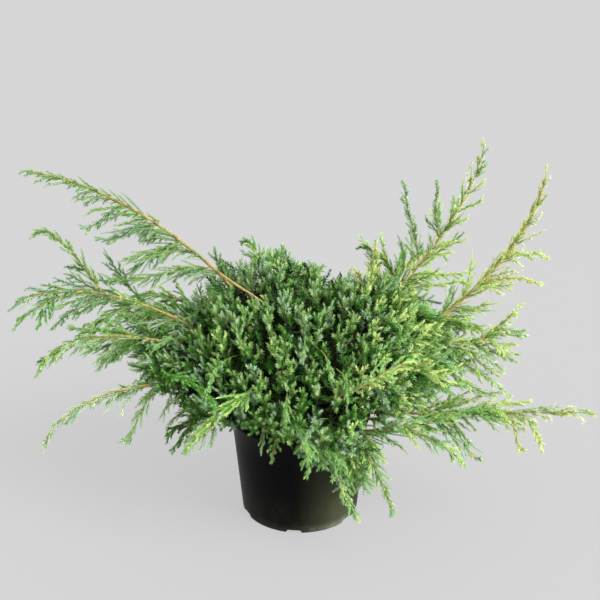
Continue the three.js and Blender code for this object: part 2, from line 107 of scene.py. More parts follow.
def by_name(*table, **usual):
    return {one.name: one for one in rows(*table, **usual)}


def by_limb(columns, groups, **usual):
    return {limb: rows(columns, *group, **usual) for limb, group in groups.items()}


# Each limb leaves the stem at its start height and reaches its tip out at a heading and up at a height.
# Launch and nod are its slopes at the stem and at the tip, up and down. It is bare as far as its bare share
# and carries laterals beyond it. Plume is their length, tilt their lean upwards and droop their sag.
LIMBS = rows(
    "name deal heading reach height launch nod start radius bare laterals plume droop tilt sway",
    ("high_left", "high", 171, 372, 474, 72, -4, 178, 2.9, 0.46, 21, 96, 0.55, -22),
    ("left_long", "left", 184, 373, 322, 42, 24, 170, 2.8, 0.4, 18, 104, 0.3),
    ("left_low", "left", 193, 346, 254, 42, 46, 162, 2.4, 0.38, 18, 98, 0.35),
    ("left_droop", "gold", 203, 356, 168, 38, 66, 154, 2.4, 0.38, 18, 96, 0.75, -20),
    ("left_skirt", "shaded_left_body", 196, 185, 134, 14, 50, 146, 2, 0.56, 12, 54, 0.5),
    ("front_left", "gold", 226, 208, 168, 40, 38, 160, 2.1, 0.5, 12, 62, 0.3),
    ("right_high", "right_gold", 22, 268, 496, 46, -78, 174, 2.8, 0.4, 18, 90, -0.25, 10),
    ("right_outer", "right_gold", 8, 326, 476, 26, -84, 164, 2.8, 0.42, 18, 92, 0.05),
    ("right_mid", "right", 38, 270, 312, 70, 20, 182, 2.2, 0.44, 12, 70, 0.1, 15),
    ("right_level", "right", -8, 285, 316, 8, -52, 174, 2.3, 0.4, 18, 94, 0.1),
    ("right_arm", "right", -6, 289, 236, 40, 30, 187, 2.2, 0.42, 18, 92, 0.25),
    ("right_long", "right_gold", -15, 385, 198, -2, -6, 154, 2.6, 0.36, 21, 96, 0.35),
    ("right_low", "right", -35, 252, 150, 14, 50, 150, 2.2, 0.44, 18, 78, 0.35, 0, -22),
    ("front_right", "front", -54, 204, 84, 52, 62, 176, 2.2, 0.52, 12, 48, 0.3),
    ("front_drop", "front", -62, 158, 62, 80, 92, 184, 2.1, 0.54, 12, 46, 0.3, 0, -30),
    ("front_hang", "front", 252, 118, 132, 70, 80, 166, 1.9, 0.62, 9, 42, 0.4),
    ("back_left", "back", 115, 205, 322, 66, 40, 174, 2.2, 0.56, 9, 52, 0.1),
    ("back_mid", "back", 88, 300, 230, 45, 40, 164, 2.4, 0.42, 12, 88, 0.3),
    ("back_right", "back", 54, 290, 228, 40, 35, 160, 2.3, 0.42, 15, 88, 0.3),
    ("back_low", "back", 138, 290, 215, 35, 35, 158, 2.3, 0.42, 15, 88, 0.3),
    ("left_back", "back", 156, 262, 270, 50, 30, 164, 2.2, 0.42, 12, 86, 0.2),
    ("right_back", "back", 12, 250, 250, 36, 30, 182, 2, 0.44, 12, 80, 0.2),
    tilt=0, sway=0)

# A fork leaves its limb at a share of it, and runs out along a heading and up by a rise
BRANCH_COLUMNS = "at heading run rise launch nod laterals plume droop deal sway radius"
PLAIN_BRANCH = {"deal": None, "sway": 0, "tilt": 0}
FORKS = by_limb(BRANCH_COLUMNS, {
    "left_long": ((0.7, 178, 84, 78, 62, 60, 6, 34, 0.1), (0.76, 196, 96, -46, 0, 60, 6, 34, 0.4)),
    "right_high": ((0.55, 200, 26, 120, 86, -88, 9, 36, -0.3, "high"),
        (0.66, 200, 8, 82, 60, -88, 6, 30, -0.3, "high")),
    "right_outer": ((0.7, 0, 62, 0, 30, 40, 6, 26, 0.3), (0.6, 0, 84, -2, 25, 34, 6, 32, 0.3)),
    "right_level": ((0.8, 0, 60, 4, 25, 10, 6, 26, 0.3),),
    "right_long": ((0.76, -25, 40, -52, -10, 72, 6, 28, 0.5),)
}, radius=FORK_RADIUS, **PLAIN_BRANCH)

# Slender branchlets that hang and arch between the boughs, on the same terms as the forks
STREAMERS = by_limb(BRANCH_COLUMNS, {
    "high_left": ((0.4, 184, 150, 0, 34, -24, 9, 44, 0.5), (0.52, 186, 112, -44, 12, -52, 8, 40, 0.5),
        (0.6, 178, 84, -18, 8, -34, 6, 36, 0.5), (0.7, 186, 60, -26, -6, -50, 5, 30, 0.5),
        (0.34, 200, 96, -30, 10, -40, 7, 40, 0.5)),
    "left_long": ((0.34, 172, 96, 46, 56, -16, 7, 38, 0.4), (0.5, 196, 104, -34, 0, -48, 7, 40, 0.5),
        (0.44, 166, 110, 24, 36, -20, 7, 38, 0.4), (0.46, 204, 112, -56, -4, 54, 8, 44, 0.5),
        (0.57, 198, 94, -42, -2, 52, 7, 40, 0.5), (0.66, 192, 84, -40, -4, 56, 7, 38, 0.5),
        (0.4, 214, 84, -30, 10, 40, 7, 42, 0.4), (0.84, 200, 34, -50, -30, 72, 7, 34, 0.3, "green_strand")),
    "left_low": ((0.42, 204, 96, -34, 6, -54, 7, 36, 0.5), (0.62, 176, 84, 14, 34, -30, 6, 34, 0.4)),
    "left_droop": ((0.5, 309, 124, 16, 54, 34, 12, 26, 0.3, "green_strand"),
        (0.5, 222, 64, -56, -4, -64, 6, 32, 0.5)),
    "left_skirt": ((0.66, 222, 56, -34, 4, 44, 8, 38, 0.4),),
    "right_high": ((0.4, 168, 36, 86, 76, -70, 9, 44, -0.1, "khaki"),
        (0.5, 350, 76, 12, 32, -26, 6, 36, 0.3), (0.42, 354, 98, 26, 38, -18, 7, 36, 0.3),
        (0.45, 188, 60, 62, 78, 14, 5, 14, 0.3, "old_hook"),
        (0.38, 184, 14, 92, 84, -88, 8, 40, -0.2, "khaki"),
        (0.44, 150, 26, 74, 80, -80, 7, 38, -0.2, "khaki"),
        (0.34, 196, 30, 70, 76, -60, 7, 38, -0.1, "khaki")),
    "right_outer": ((0.45, 344, 66, -8, 24, -34, 6, 36, 0.3),),
    "right_mid": ((0.4, 350, 110, 10, 44, 10, 9, 54, 0.2, None, -24),),
    "right_level": ((0.8, 350, 48, -16, 8, -38, 5, 30, 0.3), (0.86, 352, 42, 4, 28, -24, 4, 28, 0.3),
        (0.28, 326, 132, -10, 32, -30, 8, 42, 0.3), (0.62, 346, 92, -44, 0, 36, 8, 36, 0.3),
        (0.34, 340, 120, 20, 46, -10, 10, 60, 0.2, None, -30)),
    "right_arm": ((0.5, 334, 132, -38, 6, -40, 9, 42, 0.3), (0.66, 348, 84, -30, 10, -44, 6, 36, 0.3),
        (0.7, 354, 84, 4, 30, -10, 7, 34, 0.3), (0.55, 342, 116, -20, 14, 30, 9, 38, 0.3)),
    "right_long": ((0.55, 344, 92, -12, 10, 34, 8, 36, 0.4), (0.6, 4, 80, 16, 44, -20, 6, 34, 0.3),
        (0.42, 8, 96, 22, 38, -24, 7, 38, 0.3), (0.72, 338, 28, -48, -24, -70, 4, 26, 0.5),
        (0.5, 326, 62, -46, -6, -56, 5, 32, 0.5)),
    "front_right": ((0.55, 8, 196, 16, -14, 12, 14, 46, 0.6, None, 0, 1.4),),
    "back_mid": ((0.46, 72, 120, -20, 20, -40, 8, 42, 0.4), (0.55, 110, 92, -28, 14, -44, 7, 40, 0.4)),
    "back_right": ((0.5, 36, 112, -16, 22, -40, 8, 42, 0.4),),
    "back_low": ((0.5, 150, 104, -18, 20, -44, 7, 40, 0.4),),
    "left_back": ((0.5, 132, 84, -6, 28, -36, 6, 38, 0.4),),
    "right_back": ((0.5, 40, 96, -14, 24, -36, 7, 40, 0.4),)
}, radius=STREAMER_RADIUS, **PLAIN_BRANCH)

# Branches that come out of the crown's face and cross it, by the knees and tip of their curves
CROSSINGS = by_limb(
    "at bare laterals plume droop radius deal points", {
        "high_left": (
            (0.45, 0.8, 3, 16, 0.3, 2.4, "high", ((-104, -34, 361), (-72, -68, 358), (-38, -80, 338))),),
        "front_left": (
            (0.3, 0.35, 13, 23, 0.4, 1.4, "pale_strand",
             ((-30, -180, 300), (-105, -180, 245), (-148, -150, 165))),),
        "front_drop": (
            (0.3, 0.6, 13, 42, 0.45, 3.0, "right_body",
             ((32, -184, 240), (84, -180, 286), (148, -130, 294))),
            (0.25, 0.3, 12, 24, 0.4, 1.4, "drape", ((-50, -176, 240), (34, -186, 216), (6, -154, 132))))
    }, tilt=0)

CROWN_MASSES = rows(
    "name heading reach height launch nod start",
    ("crown_top", 80, 14, 316, 86, -84, 188),
    ("crown_front_left", 232, 92, 282, 70, -60, 180),
    ("crown_front_right", 308, 92, 282, 70, -60, 184),
    ("crown_back_right", 46, 100, 280, 66, -60, 171),
    ("crown_back_left", 142, 100, 280, 66, -60, 188),
    ("skirt_front", 270, 106, 206, 44, 0, 150),
    ("skirt_front_left", 220, 116, 204, 44, 0, 152),
    ("skirt_front_right", 318, 118, 200, 44, 0, 150),
    ("skirt_left", 184, 132, 232, 50, 0, 178),
    ("skirt_right", 356, 138, 230, 40, 0, 164),
    ("skirt_back_left", 128, 122, 212, 44, 0, 150),
    ("skirt_back_right", 58, 122, 212, 44, 0, 150),
    sway=0)

# Habits: how a shoot of each sort wears its needles
HABITS = by_name(
    "name needle width spread pitch foot tip dark_foot new_from wood",
    ("leader", 4.6, 1.4, 22, 2.9, 1.1, 0.5),
    ("lateral", 5.1, 1.6, 25, 3.2, 0.9, 0.4),
    ("whip", 5.1, 1.6, 26, 3.3, 0.6, 0.35),
    ("plume", 6.2, 1.7, 46, 2.6, 0.8, 0.4, 0.34, 0.84, 1),
    ("finger", 5.8, 1.75, 42, 2.45, 0.6, 0.35, 0.33, 0.62),
    ("under", 9.0, 2.8, 48, 4.2, 0.8, 0.4, 0.2, 0.84, 1),
    ("inner", 14.0, 4.4, 46, 6.0, 1.0, 0.5, 0.2, 0.84, 1),
    ("core", 18.0, 7.0, 46, 8.0, 1.0, 0.5, 0.2, 0.84, 1),
    dark_foot=0.2, new_from=0.84, wood=0)

# Sorts of side shoots: how far apart they stand and over which stretch of their parent, how far they spread,
# their length as a share of the parent's, how it tapers and varies, and how they droop, hug it and wander
SORTS = by_name(
    "name habit spacing first last spread share taper droop lengths salt hug wander own_tones",
    ("fine", "whip", 4.5, 0.05, 0.8, 26, 0.29, 0.7, 0.3, (0.3, 1.6), 11, 0.5, 0.45, 0.15),
    ("finest", "whip", 7, 0.2, 0.7, 26, 0.4, 0.5, 0.1, (0.5, 1.2), 17, 0.5),
    ("on_slender", "whip", 4.5, 0.02, 0.96, 24, 0.24, 0.75, 0.1, (0.4, 1.4), 61, 0.6),
    ("on_woody", "whip", 6.0, 0.3, 0.96, 24, 0.12, 0.75, 0.1, (0.4, 1.4), 61, 0.6),
    ("on_clothed", "whip", 4.0, 0.02, 0.96, 24, 0.11, 0.75, 0.1, (0.4, 1.4), 61, 0.6),
    ("on_hanger", "whip", 3.4, 0.4, 0.95, 26, 0.2, 0.5, 0.3, (0.5, 1.4), 98, 0.5),
    ("on_runner", "whip", 4.2, 0.3, 0.86, 24, 0.22, 0.6, 0.2, (0.5, 1.4), 33, 0.5),
    ("on_plume", "finger", 5.6, 0.15, 0.88, 34, 0.4, 0.4, -0.45, (0.7, 1.25), 23, 0, 0.25, 0.3),
    ("on_drape", "finger", 4.6, 0.4, 0.95, 44, 0.2, 0.3, 0.1, (0.7, 1.3), 39, 0, 0.15, 0.3),
    hug=0, wander=0.15, own_tones=0)

# Where the seeds of each kind of shoot start
LEADER_SEEDS, PLUME_SEEDS, STALK_SEEDS, INNER_SEEDS = 90000, 200000, 300000, 400000
RUNNER_SEEDS, DRAPE_SEEDS, HANGER_SEEDS = 500000, 600000, 700000

# Tones, dealt out by spray: the paler upper face of a needle, its greener back, and the tones that it
# turns to at the foot of a shoot, darker for its older needles and as painted shade, and at its new tip
TONES = {
    "shade": ("#112c09", "#0b2006", "shade", "shade"),
    "moss": ("#2f611a", "#244e12", "shade", "deep"),
    "deep": ("#548b39", "#3f702a", "moss", "leaf"),
    "leaf": ("#86b45c", "#659543", "deep", "fresh"),
    "spring": ("#b0da7c", "#8cc05a", "leaf", "lime"),
    "vivid": ("#75ab4e", "#588c38", "deep", "mint"),
    "bright": ("#6cba48", "#4c9832", "vivid", "mint"),
    "mint": ("#a9d588", "#84b566", "vivid", "mint"),
    "fresh": ("#a8c682", "#85a85f", "leaf", "frost"),
    "dusk": ("#9cbd9a", "#729c6b", "deep", "frost"),
    "frost": ("#b2cfa6", "#86ad7c", "deep", "frost"),
    "sage": ("#cbd9bd", "#a6bf98", "dusk", "sage"),
    "lime": ("#dcea9e", "#c0d87c", "spring", "lime"),
    "pale": ("#e6ecca", "#d0dbab", "fresh", "pale"),
    "straw": ("#dfe09c", "#c6c774", "lime", "straw"),
}
TONE_NAMES = list(TONES)
TONE_FEET, TONE_TIPS = (
    np.array([TONE_NAMES.index(row[column]) for row in TONES.values()]) for column in (2, 3))

# How often each tone is dealt to the sprays of one side of the plant
DEALS = {
    "crown": {"deep": 0.34, "leaf": 0.4, "fresh": 0.1, "dusk": 0.16},
    "crown_left": {"moss": 0.1, "deep": 0.4, "leaf": 0.25, "dusk": 0.25},
    "crown_right": {"leaf": 0.06, "spring": 0.3, "mint": 0.38, "lime": 0.18, "frost": 0.08},
    "left": {"leaf": 0.2, "vivid": 0.06, "spring": 0.06, "fresh": 0.22, "dusk": 0.22, "sage": 0.24},
    # The right side's deals run paler and yellower, partly as painted light where the light falls
    "right": {"spring": 0.12, "mint": 0.1, "lime": 0.3, "sage": 0.16, "pale": 0.32},
    "right_gold": {"spring": 0.1, "lime": 0.3, "straw": 0.18, "sage": 0.14, "pale": 0.28},
    "khaki": {"spring": 0.3, "lime": 0.32, "straw": 0.2, "sage": 0.18},
    # Dark greens painted as the shade under the crown's left side
    "shaded_left_body": {"moss": 0.16, "deep": 0.4, "leaf": 0.3, "spring": 0.07, "dusk": 0.07},
    "right_body": {"leaf": 0.04, "spring": 0.3, "mint": 0.42, "lime": 0.16, "frost": 0.08},
    "green_strand": {"bright": 0.9, "mint": 0.1},
    "pale_strand": {"spring": 0.2, "mint": 0.3, "lime": 0.16, "pale": 0.16, "sage": 0.18},
    "old_hook": {"moss": 0.5, "deep": 0.5},
    "strand": {"mint": 0.55, "fresh": 0.3, "frost": 0.15},
    "high": {"leaf": 0.12, "fresh": 0.26, "dusk": 0.34, "sage": 0.28},
    "crown_top": {"leaf": 0.16, "fresh": 0.36, "mint": 0.26, "frost": 0.1, "spring": 0.12},
    "gold": {"fresh": 0.3, "frost": 0.2, "sage": 0.36, "lime": 0.06, "pale": 0.08},
    "front": {"leaf": 0.08, "spring": 0.22, "mint": 0.36, "frost": 0.14, "lime": 0.2},
    "runner": {"spring": 0.1, "mint": 0.4, "fresh": 0.15, "frost": 0.35},
    "drape": {"leaf": 0.08, "mint": 0.6, "spring": 0.1, "frost": 0.14, "dusk": 0.08},
    "back": {"deep": 0.15, "leaf": 0.35, "spring": 0.3, "dusk": 0.2},
}

# Near the crown a bough's sprays turn to a greener deal, which on the left is also darker as painted shade
BODY_DEALS = {"left": "shaded_left_body", "right": "right_body", "right_gold": "right_body"}
BODY_REACH = 285
BODY_BLEND = 130


# Repeatable growth


WORD = np.uint64(0xFFFFFFFF)


def chance(plant, twig, salt):
    """A repeatable number from 0 to 1 for one twig, the same as in the part's source."""
    plant, twig, salt = (
        np.asarray(number).astype(np.uint64) + np.uint64(1) for number in (plant, twig, salt))
    mixed = plant * np.uint64(374761393) + twig * np.uint64(668265263) + salt * np.uint64(40503)
    mixed &= WORD
    mixed = ((mixed ^ (mixed >> np.uint64(13))) * np.uint64(1274126177)) & WORD
    return (mixed ^ (mixed >> np.uint64(16))) / 2.0**32


def mix(low, high, share):
    return low + (high - low) * share


def unit(vectors):
    return vectors / np.maximum(np.linalg.norm(vectors, axis=-1, keepdims=True), 1e-9)


def signed(chances):
    """Three lists of chances as ways of each twig's own, to any side."""
    return np.stack(chances, axis=-1) * 2 - 1


def stray(index, salt):
    return signed([chance(1, index, salt + i) for i in range(3)])


def numbered(counts):
    """For each of many things in a row, its owner and its rank among its owner's."""
    owner = np.repeat(np.arange(len(counts)), counts)
    return owner, np.arange(counts.sum()) - np.repeat(np.cumsum(counts) - counts, counts)


def kept(chosen, *lists):
    return [one[chosen] for one in lists]


def outward(heading):
    turn = np.radians(heading)
    return np.stack([np.cos(turn), np.sin(turn), np.zeros_like(turn)], axis=-1)


def column(values):
    return np.asarray(values, float)[..., None]


def turned(first, second, angle):
    """From one direction towards another, by an angle in radians."""
    return first * column(np.cos(angle)) + second * column(np.sin(angle))


def across_and_above(along):
    """Level across a way along, and square above it."""
    across = unit(np.cross(along, UP))
    return across, np.cross(across, along)


# Curves, each held as the four points of a cubic


def point_on(curves, share):
    share = column(share)
    rest = 1 - share
    a, b, c, d = (curves[..., i, :] for i in range(4))
    return rest**3 * a + 3 * rest**2 * share * b + 3 * rest * share**2 * c + share**3 * d


def pace_on(curves, share):
    share = column(share)
    rest = 1 - share
    a, b, c, d = (curves[..., i, :] for i in range(4))
    return rest**2 * (b - a) + 2 * rest * share * (c - b) + share**2 * (d - c)


def way_along(curves, share):
    return unit(pace_on(curves, share))


def part_of(curve, start, end):
    """The stretch of a cubic between two shares, as a cubic."""
    first, last = point_on(curve, start), point_on(curve, end)
    step = (end - start) / 3
    ahead, behind = 3 * pace_on(curve, start) * step, 3 * pace_on(curve, end) * step
    return np.stack([first, first + ahead, last - behind, last])


def length_of(curves, steps=12):
    points = point_on(curves[..., None, :, :], np.linspace(0, 1, steps + 1))
    return np.linalg.norm(np.diff(points, axis=-2), axis=-1).sum(axis=-1)


def arch_to(start, heading, run, rise, launch, nod, sway=0):
    """From a start, out along a heading and up to a tip, with slopes at both ends and a sway aside."""
    out, side = outward(heading), outward(heading + 90)
    tip = start + out * run + UP * rise
    pull = np.linalg.norm(tip - start) * LIMB_PULL
    launch, nod = math.radians(launch), math.radians(nod)
    leaving = start + (out * math.cos(launch) + UP * math.sin(launch)) * pull
    arriving = tip + (UP * math.sin(nod) - out * math.cos(nod)) * pull
    return np.stack([start, leaving + side * sway, arriving + side * sway, tip])


def limb_curve(limb):
    start = outward(limb.heading) * LIMB_ROOT + UP * limb.start
    run, rise = limb.reach - LIMB_ROOT, limb.height - limb.start
    return arch_to(start, limb.heading, run, rise, limb.launch, limb.nod, limb.sway)


def bowed(start, knee, tip):
    return np.stack([start, start + (knee - start) * 2 / 3, tip + (knee - tip) * 2 / 3, tip], axis=-2)


def twig_curves(root, direction, length, droop, stray=0.0):
    """Twigs that leave along a direction and bend down, or up where the droop is negative."""
    half = column(length) / 2
    knee = root + direction * half
    droop = np.broadcast_to(droop, len(direction))
    return bowed(root, knee, knee + unit(direction + stray - UP * column(droop)) * half)


# Shoots: many curves of one habit, with a tone, a mass and a seed for each


def shoots(curves, habit_name, tones, masses, seeds, leafy_from=0.0):
    count = len(curves)
    return SimpleNamespace(
        curves=curves, length=length_of(curves), habit=HABITS[habit_name],
        leafy_from=np.broadcast_to(np.asarray(leafy_from, float), count),
        tones=np.broadcast_to(tones, count), masses=np.broadcast_to(masses, count),
        seeds=np.broadcast_to(seeds, count))


def deal_tones(deal, roll):
    """The tone that each roll from 0 to 1 is dealt."""
    names = list(DEALS[deal])
    edges = np.cumsum([DEALS[deal][name] for name in names])
    picks = np.minimum(np.searchsorted(edges, roll * edges[-1]), len(names) - 1)
    return np.array([TONE_NAMES.index(name) for name in names])[picks]


def side_shoots(parents, sort, deal="crown", more_droop=0.0):
    """Shoots that leave their parents all round, in a spiral, and wander a little."""
    kind = SORTS[sort]
    counts = np.round(parents.length * (kind.last - kind.first) / kind.spacing).astype(int)
    counts = np.maximum(1, counts)
    owner, rank = numbered(counts)
    part = mix(kind.first, kind.last, (rank + 0.5) / counts[owner])
    curves, seeds = parents.curves[owner], parents.seeds[owner]
    along = way_along(curves, part)
    roll = np.radians(GOLDEN_TURN * rank + 360 * chance(seeds, 0, kind.salt))
    turn = np.radians(kind.spread * mix(0.8, 1.2, chance(seeds, rank, kind.salt + 1)))
    direction = turned(along, turned(*across_and_above(along), roll), turn)
    fade = 1 - kind.taper * (part - kind.first) / (1 - kind.first)
    vigour = mix(*kind.lengths, chance(seeds, rank, kind.salt + 2))
    length = parents.length[owner] * kind.share * fade * vigour
    wander = signed([chance(seeds, rank, kind.salt + 3 + i) for i in range(3)]) * kind.wander
    bent = wander + along * kind.hug
    grown = twig_curves(point_on(curves, part), direction, length, kind.droop + more_droop, bent)
    new_tones = deal_tones(deal, chance(seeds, rank, kind.salt + 8))
    own = chance(seeds, rank, kind.salt + 7) < kind.own_tones
    tones = np.where(own, new_tones, parents.tones[owner])
    return shoots(grown, kind.habit, tones, parents.masses[owner], seeds * 31 + rank + 7)


# Whips: leaders, laterals and their finer shoots


SPUR_FROM = 0.8
SPUR_LENGTH = 0.62
SPUR_LENGTHS = (0.4, 1.6)
SPUR_TAPER = 0.75
SPUR_SCATTER = 150
SPUR_SPREAD = (38, 24)
TIP_CLOSING = 0.7
WOODY_RADIUS = 1.55
CLOTHED = ("right_high", "right_outer", "right_level", "right_arm", "right_mid")
WAVE = 0.18
TIP_THINNING = 0.3
STUNTED = 0.5
STUNTED_FROM = 0.76
FINE_BEARING = 20

# Degrees that the laterals of either flank roll down under a leader whose bark shows
HANG = {
    "high_left": (55, 0), "left_droop": (20, 0), "left_long": (-15, 40), "right_outer": (40, -15),
    "right_high": (30, -15), "left_low": (0, 25)}

# How much of its full length a bough's sprays keep, at their first and at their last
TRIM = {
    "left_droop": (0.7, 0.45), "front_hang": (0.6, 0.4), "high_left": (0.95, 0.8), "back_left": (0.8, 0.3),
    "right_arm": (0.75, 0.6), "right_level": (0.75, 0.7), "right_low": (0.55, 1.0),
    "front_right": (0.8, 1.0), "right_high": (1.0, 0.85), "right_outer": (1.0, 0.75)}

MASS_NAMES = [one.name for one in LIMBS + CROWN_MASSES]


def trimmed(leader, length, share, seeds):
    """Lengths of a leader's sprays after its trim, with a stunted one here and there."""
    length = length * np.where(chance(seeds, 0, 99) > STUNTED_FROM, STUNTED, 1.0)
    return length if leader.branch else length * mix(*TRIM.get(leader.limb.name, (1.0, 1.0)), share)


def leader_of(bough, limb, curve, leafy, foot):
    """A leader of a limb: leafy from a share of its curve on, with its bark's radius at its foot."""
    return SimpleNamespace(
        curve=curve, leafy=leafy, foot=foot, limb=limb, branch=bough is not limb, laterals=bough.laterals,
        plume=bough.plume, droop=bough.droop, tilt=bough.tilt, deal=bough.deal or limb.deal)


def limb_leader(limb):
    curve = limb_curve(limb)
    leafy = limb.bare + 2 * SEAT_GAP / length_of(curve, 200)
    return leader_of(limb, limb, curve, leafy, mix(limb.radius, TIP_RADIUS, leafy))


def fork_leader(fork, limb):
    root = point_on(limb_curve(limb), fork.at)
    curve = arch_to(root, fork.heading, fork.run, fork.rise, fork.launch, fork.nod, fork.sway)
    return leader_of(fork, limb, curve, 0.0, fork.radius)


def crossing_leader(crossing, limb):
    root = point_on(limb_curve(limb), crossing.at)
    curve = np.stack([root, *np.array(crossing.points, float)])
    return leader_of(crossing, limb, curve, crossing.bare, crossing.radius)


def make_leaders():
    """Each limb with its forks, then the slender branches by limb. Their order gives them their seeds."""
    leaders = []
    for limb in LIMBS:
        leaders.append(limb_leader(limb))
        leaders += [fork_leader(one, limb) for one in FORKS.get(limb.name, ())]
    for limb in LIMBS:
        leaders += [fork_leader(one, limb) for one in STREAMERS.get(limb.name, ())]
        leaders += [crossing_leader(one, limb) for one in CROSSINGS.get(limb.name, ())]
    return leaders


def flanking(leader, share, leafy, flank, roll, spread, length, seeds):
    """Waved twigs to the flanks of a leader, rolled up or down by degrees and spread from its way."""
    place = mix(leafy, 1, share)
    along = way_along(leader.curve, place)
    across, above = across_and_above(along)
    aside = turned(across * column(flank), above, np.radians(roll))
    direction = turned(along, aside, np.radians(spread))
    length = trimmed(leader, length, share, seeds)
    grown = twig_curves(point_on(leader.curve, place), direction, length, leader.droop)
    return waved(grown, length, seeds)


def lateral_curves(leader, plant):
    """Laterals leave their leader to alternate sides, shorter and more forward near its tip."""
    index = np.arange(leader.laterals)
    share = (index + 0.5) / leader.laterals
    flank = 1.0 - 2.0 * (index % 2)
    hang = np.where(flank > 0, *HANG.get(leader.limb.name, (0, 0)))
    roll = leader.tilt - hang + LATERAL_SCATTER * (chance(plant, index, 1) - 0.5)
    spread = mix(LATERAL_SPREAD, LATERAL_SPREAD_AT_TIP * TIP_CLOSING, share)
    vigour = mix(LATERAL_SHORTEST, LATERAL_LONGEST, chance(plant, index, 2))
    length = leader.plume * (1 - LATERAL_TAPER * share) * vigour * (1 - TIP_THINNING * share**2)
    return flanking(leader, share, leader.leafy, flank, roll, spread, length, plant * 100 + index)


def waved(curves, length, seeds):
    """The same twigs with a wave in them, from the same roots to the same tips."""
    bent = curves.copy()
    for point, salt in ((1, 93), (2, 94)):
        wave = signed([chance(seeds, i, salt) for i in range(3)])
        bent[:, point] += wave * column(length * WAVE)
    return bent


def spur_curves(leader, plant):
    """Shorter laterals between the others, on the other side of the leader from the one before."""
    index = np.arange(leader.laterals)
    share = (index + 1) / (leader.laterals + 1)
    flank = 2.0 * (index % 2) - 1
    hang = max(HANG.get(leader.limb.name, (0, 0))) / 2
    roll = leader.tilt - hang + SPUR_SCATTER * (chance(plant, index, 91) - 0.5)
    spread = mix(*SPUR_SPREAD, share)
    vigour = mix(*SPUR_LENGTHS, chance(plant, index, 92))
    length = leader.plume * SPUR_LENGTH * (1 - SPUR_TAPER * share) * vigour
    return flanking(
        leader, share, leader.leafy * SPUR_FROM, flank, roll, spread, length, plant * 100 + index + 50)


def grow_whip(leader, plant):
    """A leader's laterals, the fine shoots pressed to them, and the finest on those."""
    curves = np.concatenate([lateral_curves(leader, plant), spur_curves(leader, plant)])
    index = np.arange(len(curves))
    tones = deal_tones(leader.deal, chance(plant, index, 8))
    if leader.deal in BODY_DEALS:
        near = np.clip((BODY_REACH - np.abs(curves[:, 0, 0])) / BODY_BLEND, 0, 1)
        greener = deal_tones(BODY_DEALS[leader.deal], chance(plant, index, 96))
        tones = np.where(chance(plant, index, 95) < near, greener, tones)
    mass = MASS_NAMES.index(leader.limb.name)
    laterals = shoots(curves, "lateral", tones, mass, plant * 1000 + index, leafy_from=0.12)
    fine = side_shoots(laterals, "fine", leader.deal, more_droop=0.4 * max(leader.droop, 0))
    return [laterals, fine, side_shoots(pick(fine, fine.length > FINE_BEARING), "finest")]


def leader_shoots(leaders):
    """The leafy length of each leader, and short shoots pressed along it."""
    curves = np.stack([part_of(leader.curve, leader.leafy, 1.0) for leader in leaders])
    masses = np.array([MASS_NAMES.index(leader.limb.name) for leader in leaders])
    tones = np.array([deal_tones(leader.deal, chance(n, 0, 9)) for n, leader in enumerate(leaders)])
    woody = np.array([leader.foot > WOODY_RADIUS for leader in leaders])
    clothed = woody & np.array([leader.limb.name in CLOTHED for leader in leaders])
    leafy_from = np.where(woody & ~clothed, 0.55, 0.1)
    seeds = np.arange(len(leaders)) + LEADER_SEEDS
    whole = shoots(curves, "leader", tones, masses, seeds, leafy_from=leafy_from)
    return [
        whole, side_shoots(pick(whole, ~woody), "on_slender"),
        side_shoots(pick(whole, woody & ~clothed), "on_woody"),
        side_shoots(pick(whole, clothed), "on_clothed")]


def pick(batch, chosen):
    """The chosen shoots of a batch."""
    return SimpleNamespace(**{
        key: value if key == "habit" else value[chosen] for key, value in vars(batch).items()})


# Crown: plumes stand all over a low dome, each on a twig from its mass's hub


PLUME_COUNT = 760
PLUME_SCATTER = 8
PLUME_STRAY = 0.24
PLUME_LENGTHS = (34, 54)
RUNNER_STEP = 31
RUNNER_LENGTHS = (56, 88)
RUNNER_DROOP = 1.3
HUBS = np.stack([point_on(limb_curve(one), 1.0) for one in CROWN_MASSES])

# Beyond this distance to either side the plumes flow sideways and grow longer. Pairs are right and left
FLOW_FROM = 80
FLOW_OVER = 110
FLOW_RIGHT = 1.4
FLOW_LENGTH = 26
FLOW_OUT = 20
FLOW_LEANS = (0.05, 0.35)
FLOW_ASIDE = (1.0, 0.7)

# Plumes that stand out of the crown's top, or stay short there: by how much, from which chance and height
TALL = (26, 0.85, 0.4)
SHORT = (14, 0.7, 0.5)

# Bright strands that hang from the crown's face: where each turns down, its swing aside, and its drop
HANGERS = (
    (35, -152, 305, 4, 36), (61, -168, 285, -4, 32), (-18, -178, 264, 2, 34), (25, -146, 184, -24, 36),
    (28, -148, 176, 28, 28), (-21, -156, 233, 0, 42), (-62, -160, 268, -8, 30), (96, -140, 262, 14, 34),
    (-96, -128, 292, -14, 26), (8, -140, 318, -6, 26))
HANGER_ROOT = np.array([0.75, 0.72, 1.0])
HANGER_RISE = 14
HANGER_OUT = 3

# Sprays over the pot's rim: pairs are the ends of a range, and high and low their tips' heights there
DRAPE_COUNT = 104
DRAPE_HEADINGS = (270, 315)
DRAPE_REACHES = (114, 140)
DRAPE_START = 172
DRAPE_KNEES = (186, 172)
DRAPE_HIGH = (166, 146)
DRAPE_LOW = (150, 62)

# Shells of sprays inside the crown, in dark tones that paint the shade there: habit, tone, count, and how
# far out the shell begins and ends
SHELLS = (("under", "moss", 460, 0.84, 0.94), ("inner", "shade", 540, 0.7, 0.82),
          ("core", "shade", 340, 0.46, 0.62), ("core", "shade", 180, 0.2, 0.4))

# Depth of the lumps in the crown's face, and how far its top dips
LUMP = 0.09
CROWN_TOP_DIP = 0.17

# How far the sprays lean upwards, by height over the crown's centre
LEAN_HEIGHTS = (-0.3, -0.12, 0.1, 0.6, 1)
LEANS = (0.1, 0.6, 1.2, 1.0, 0.4)

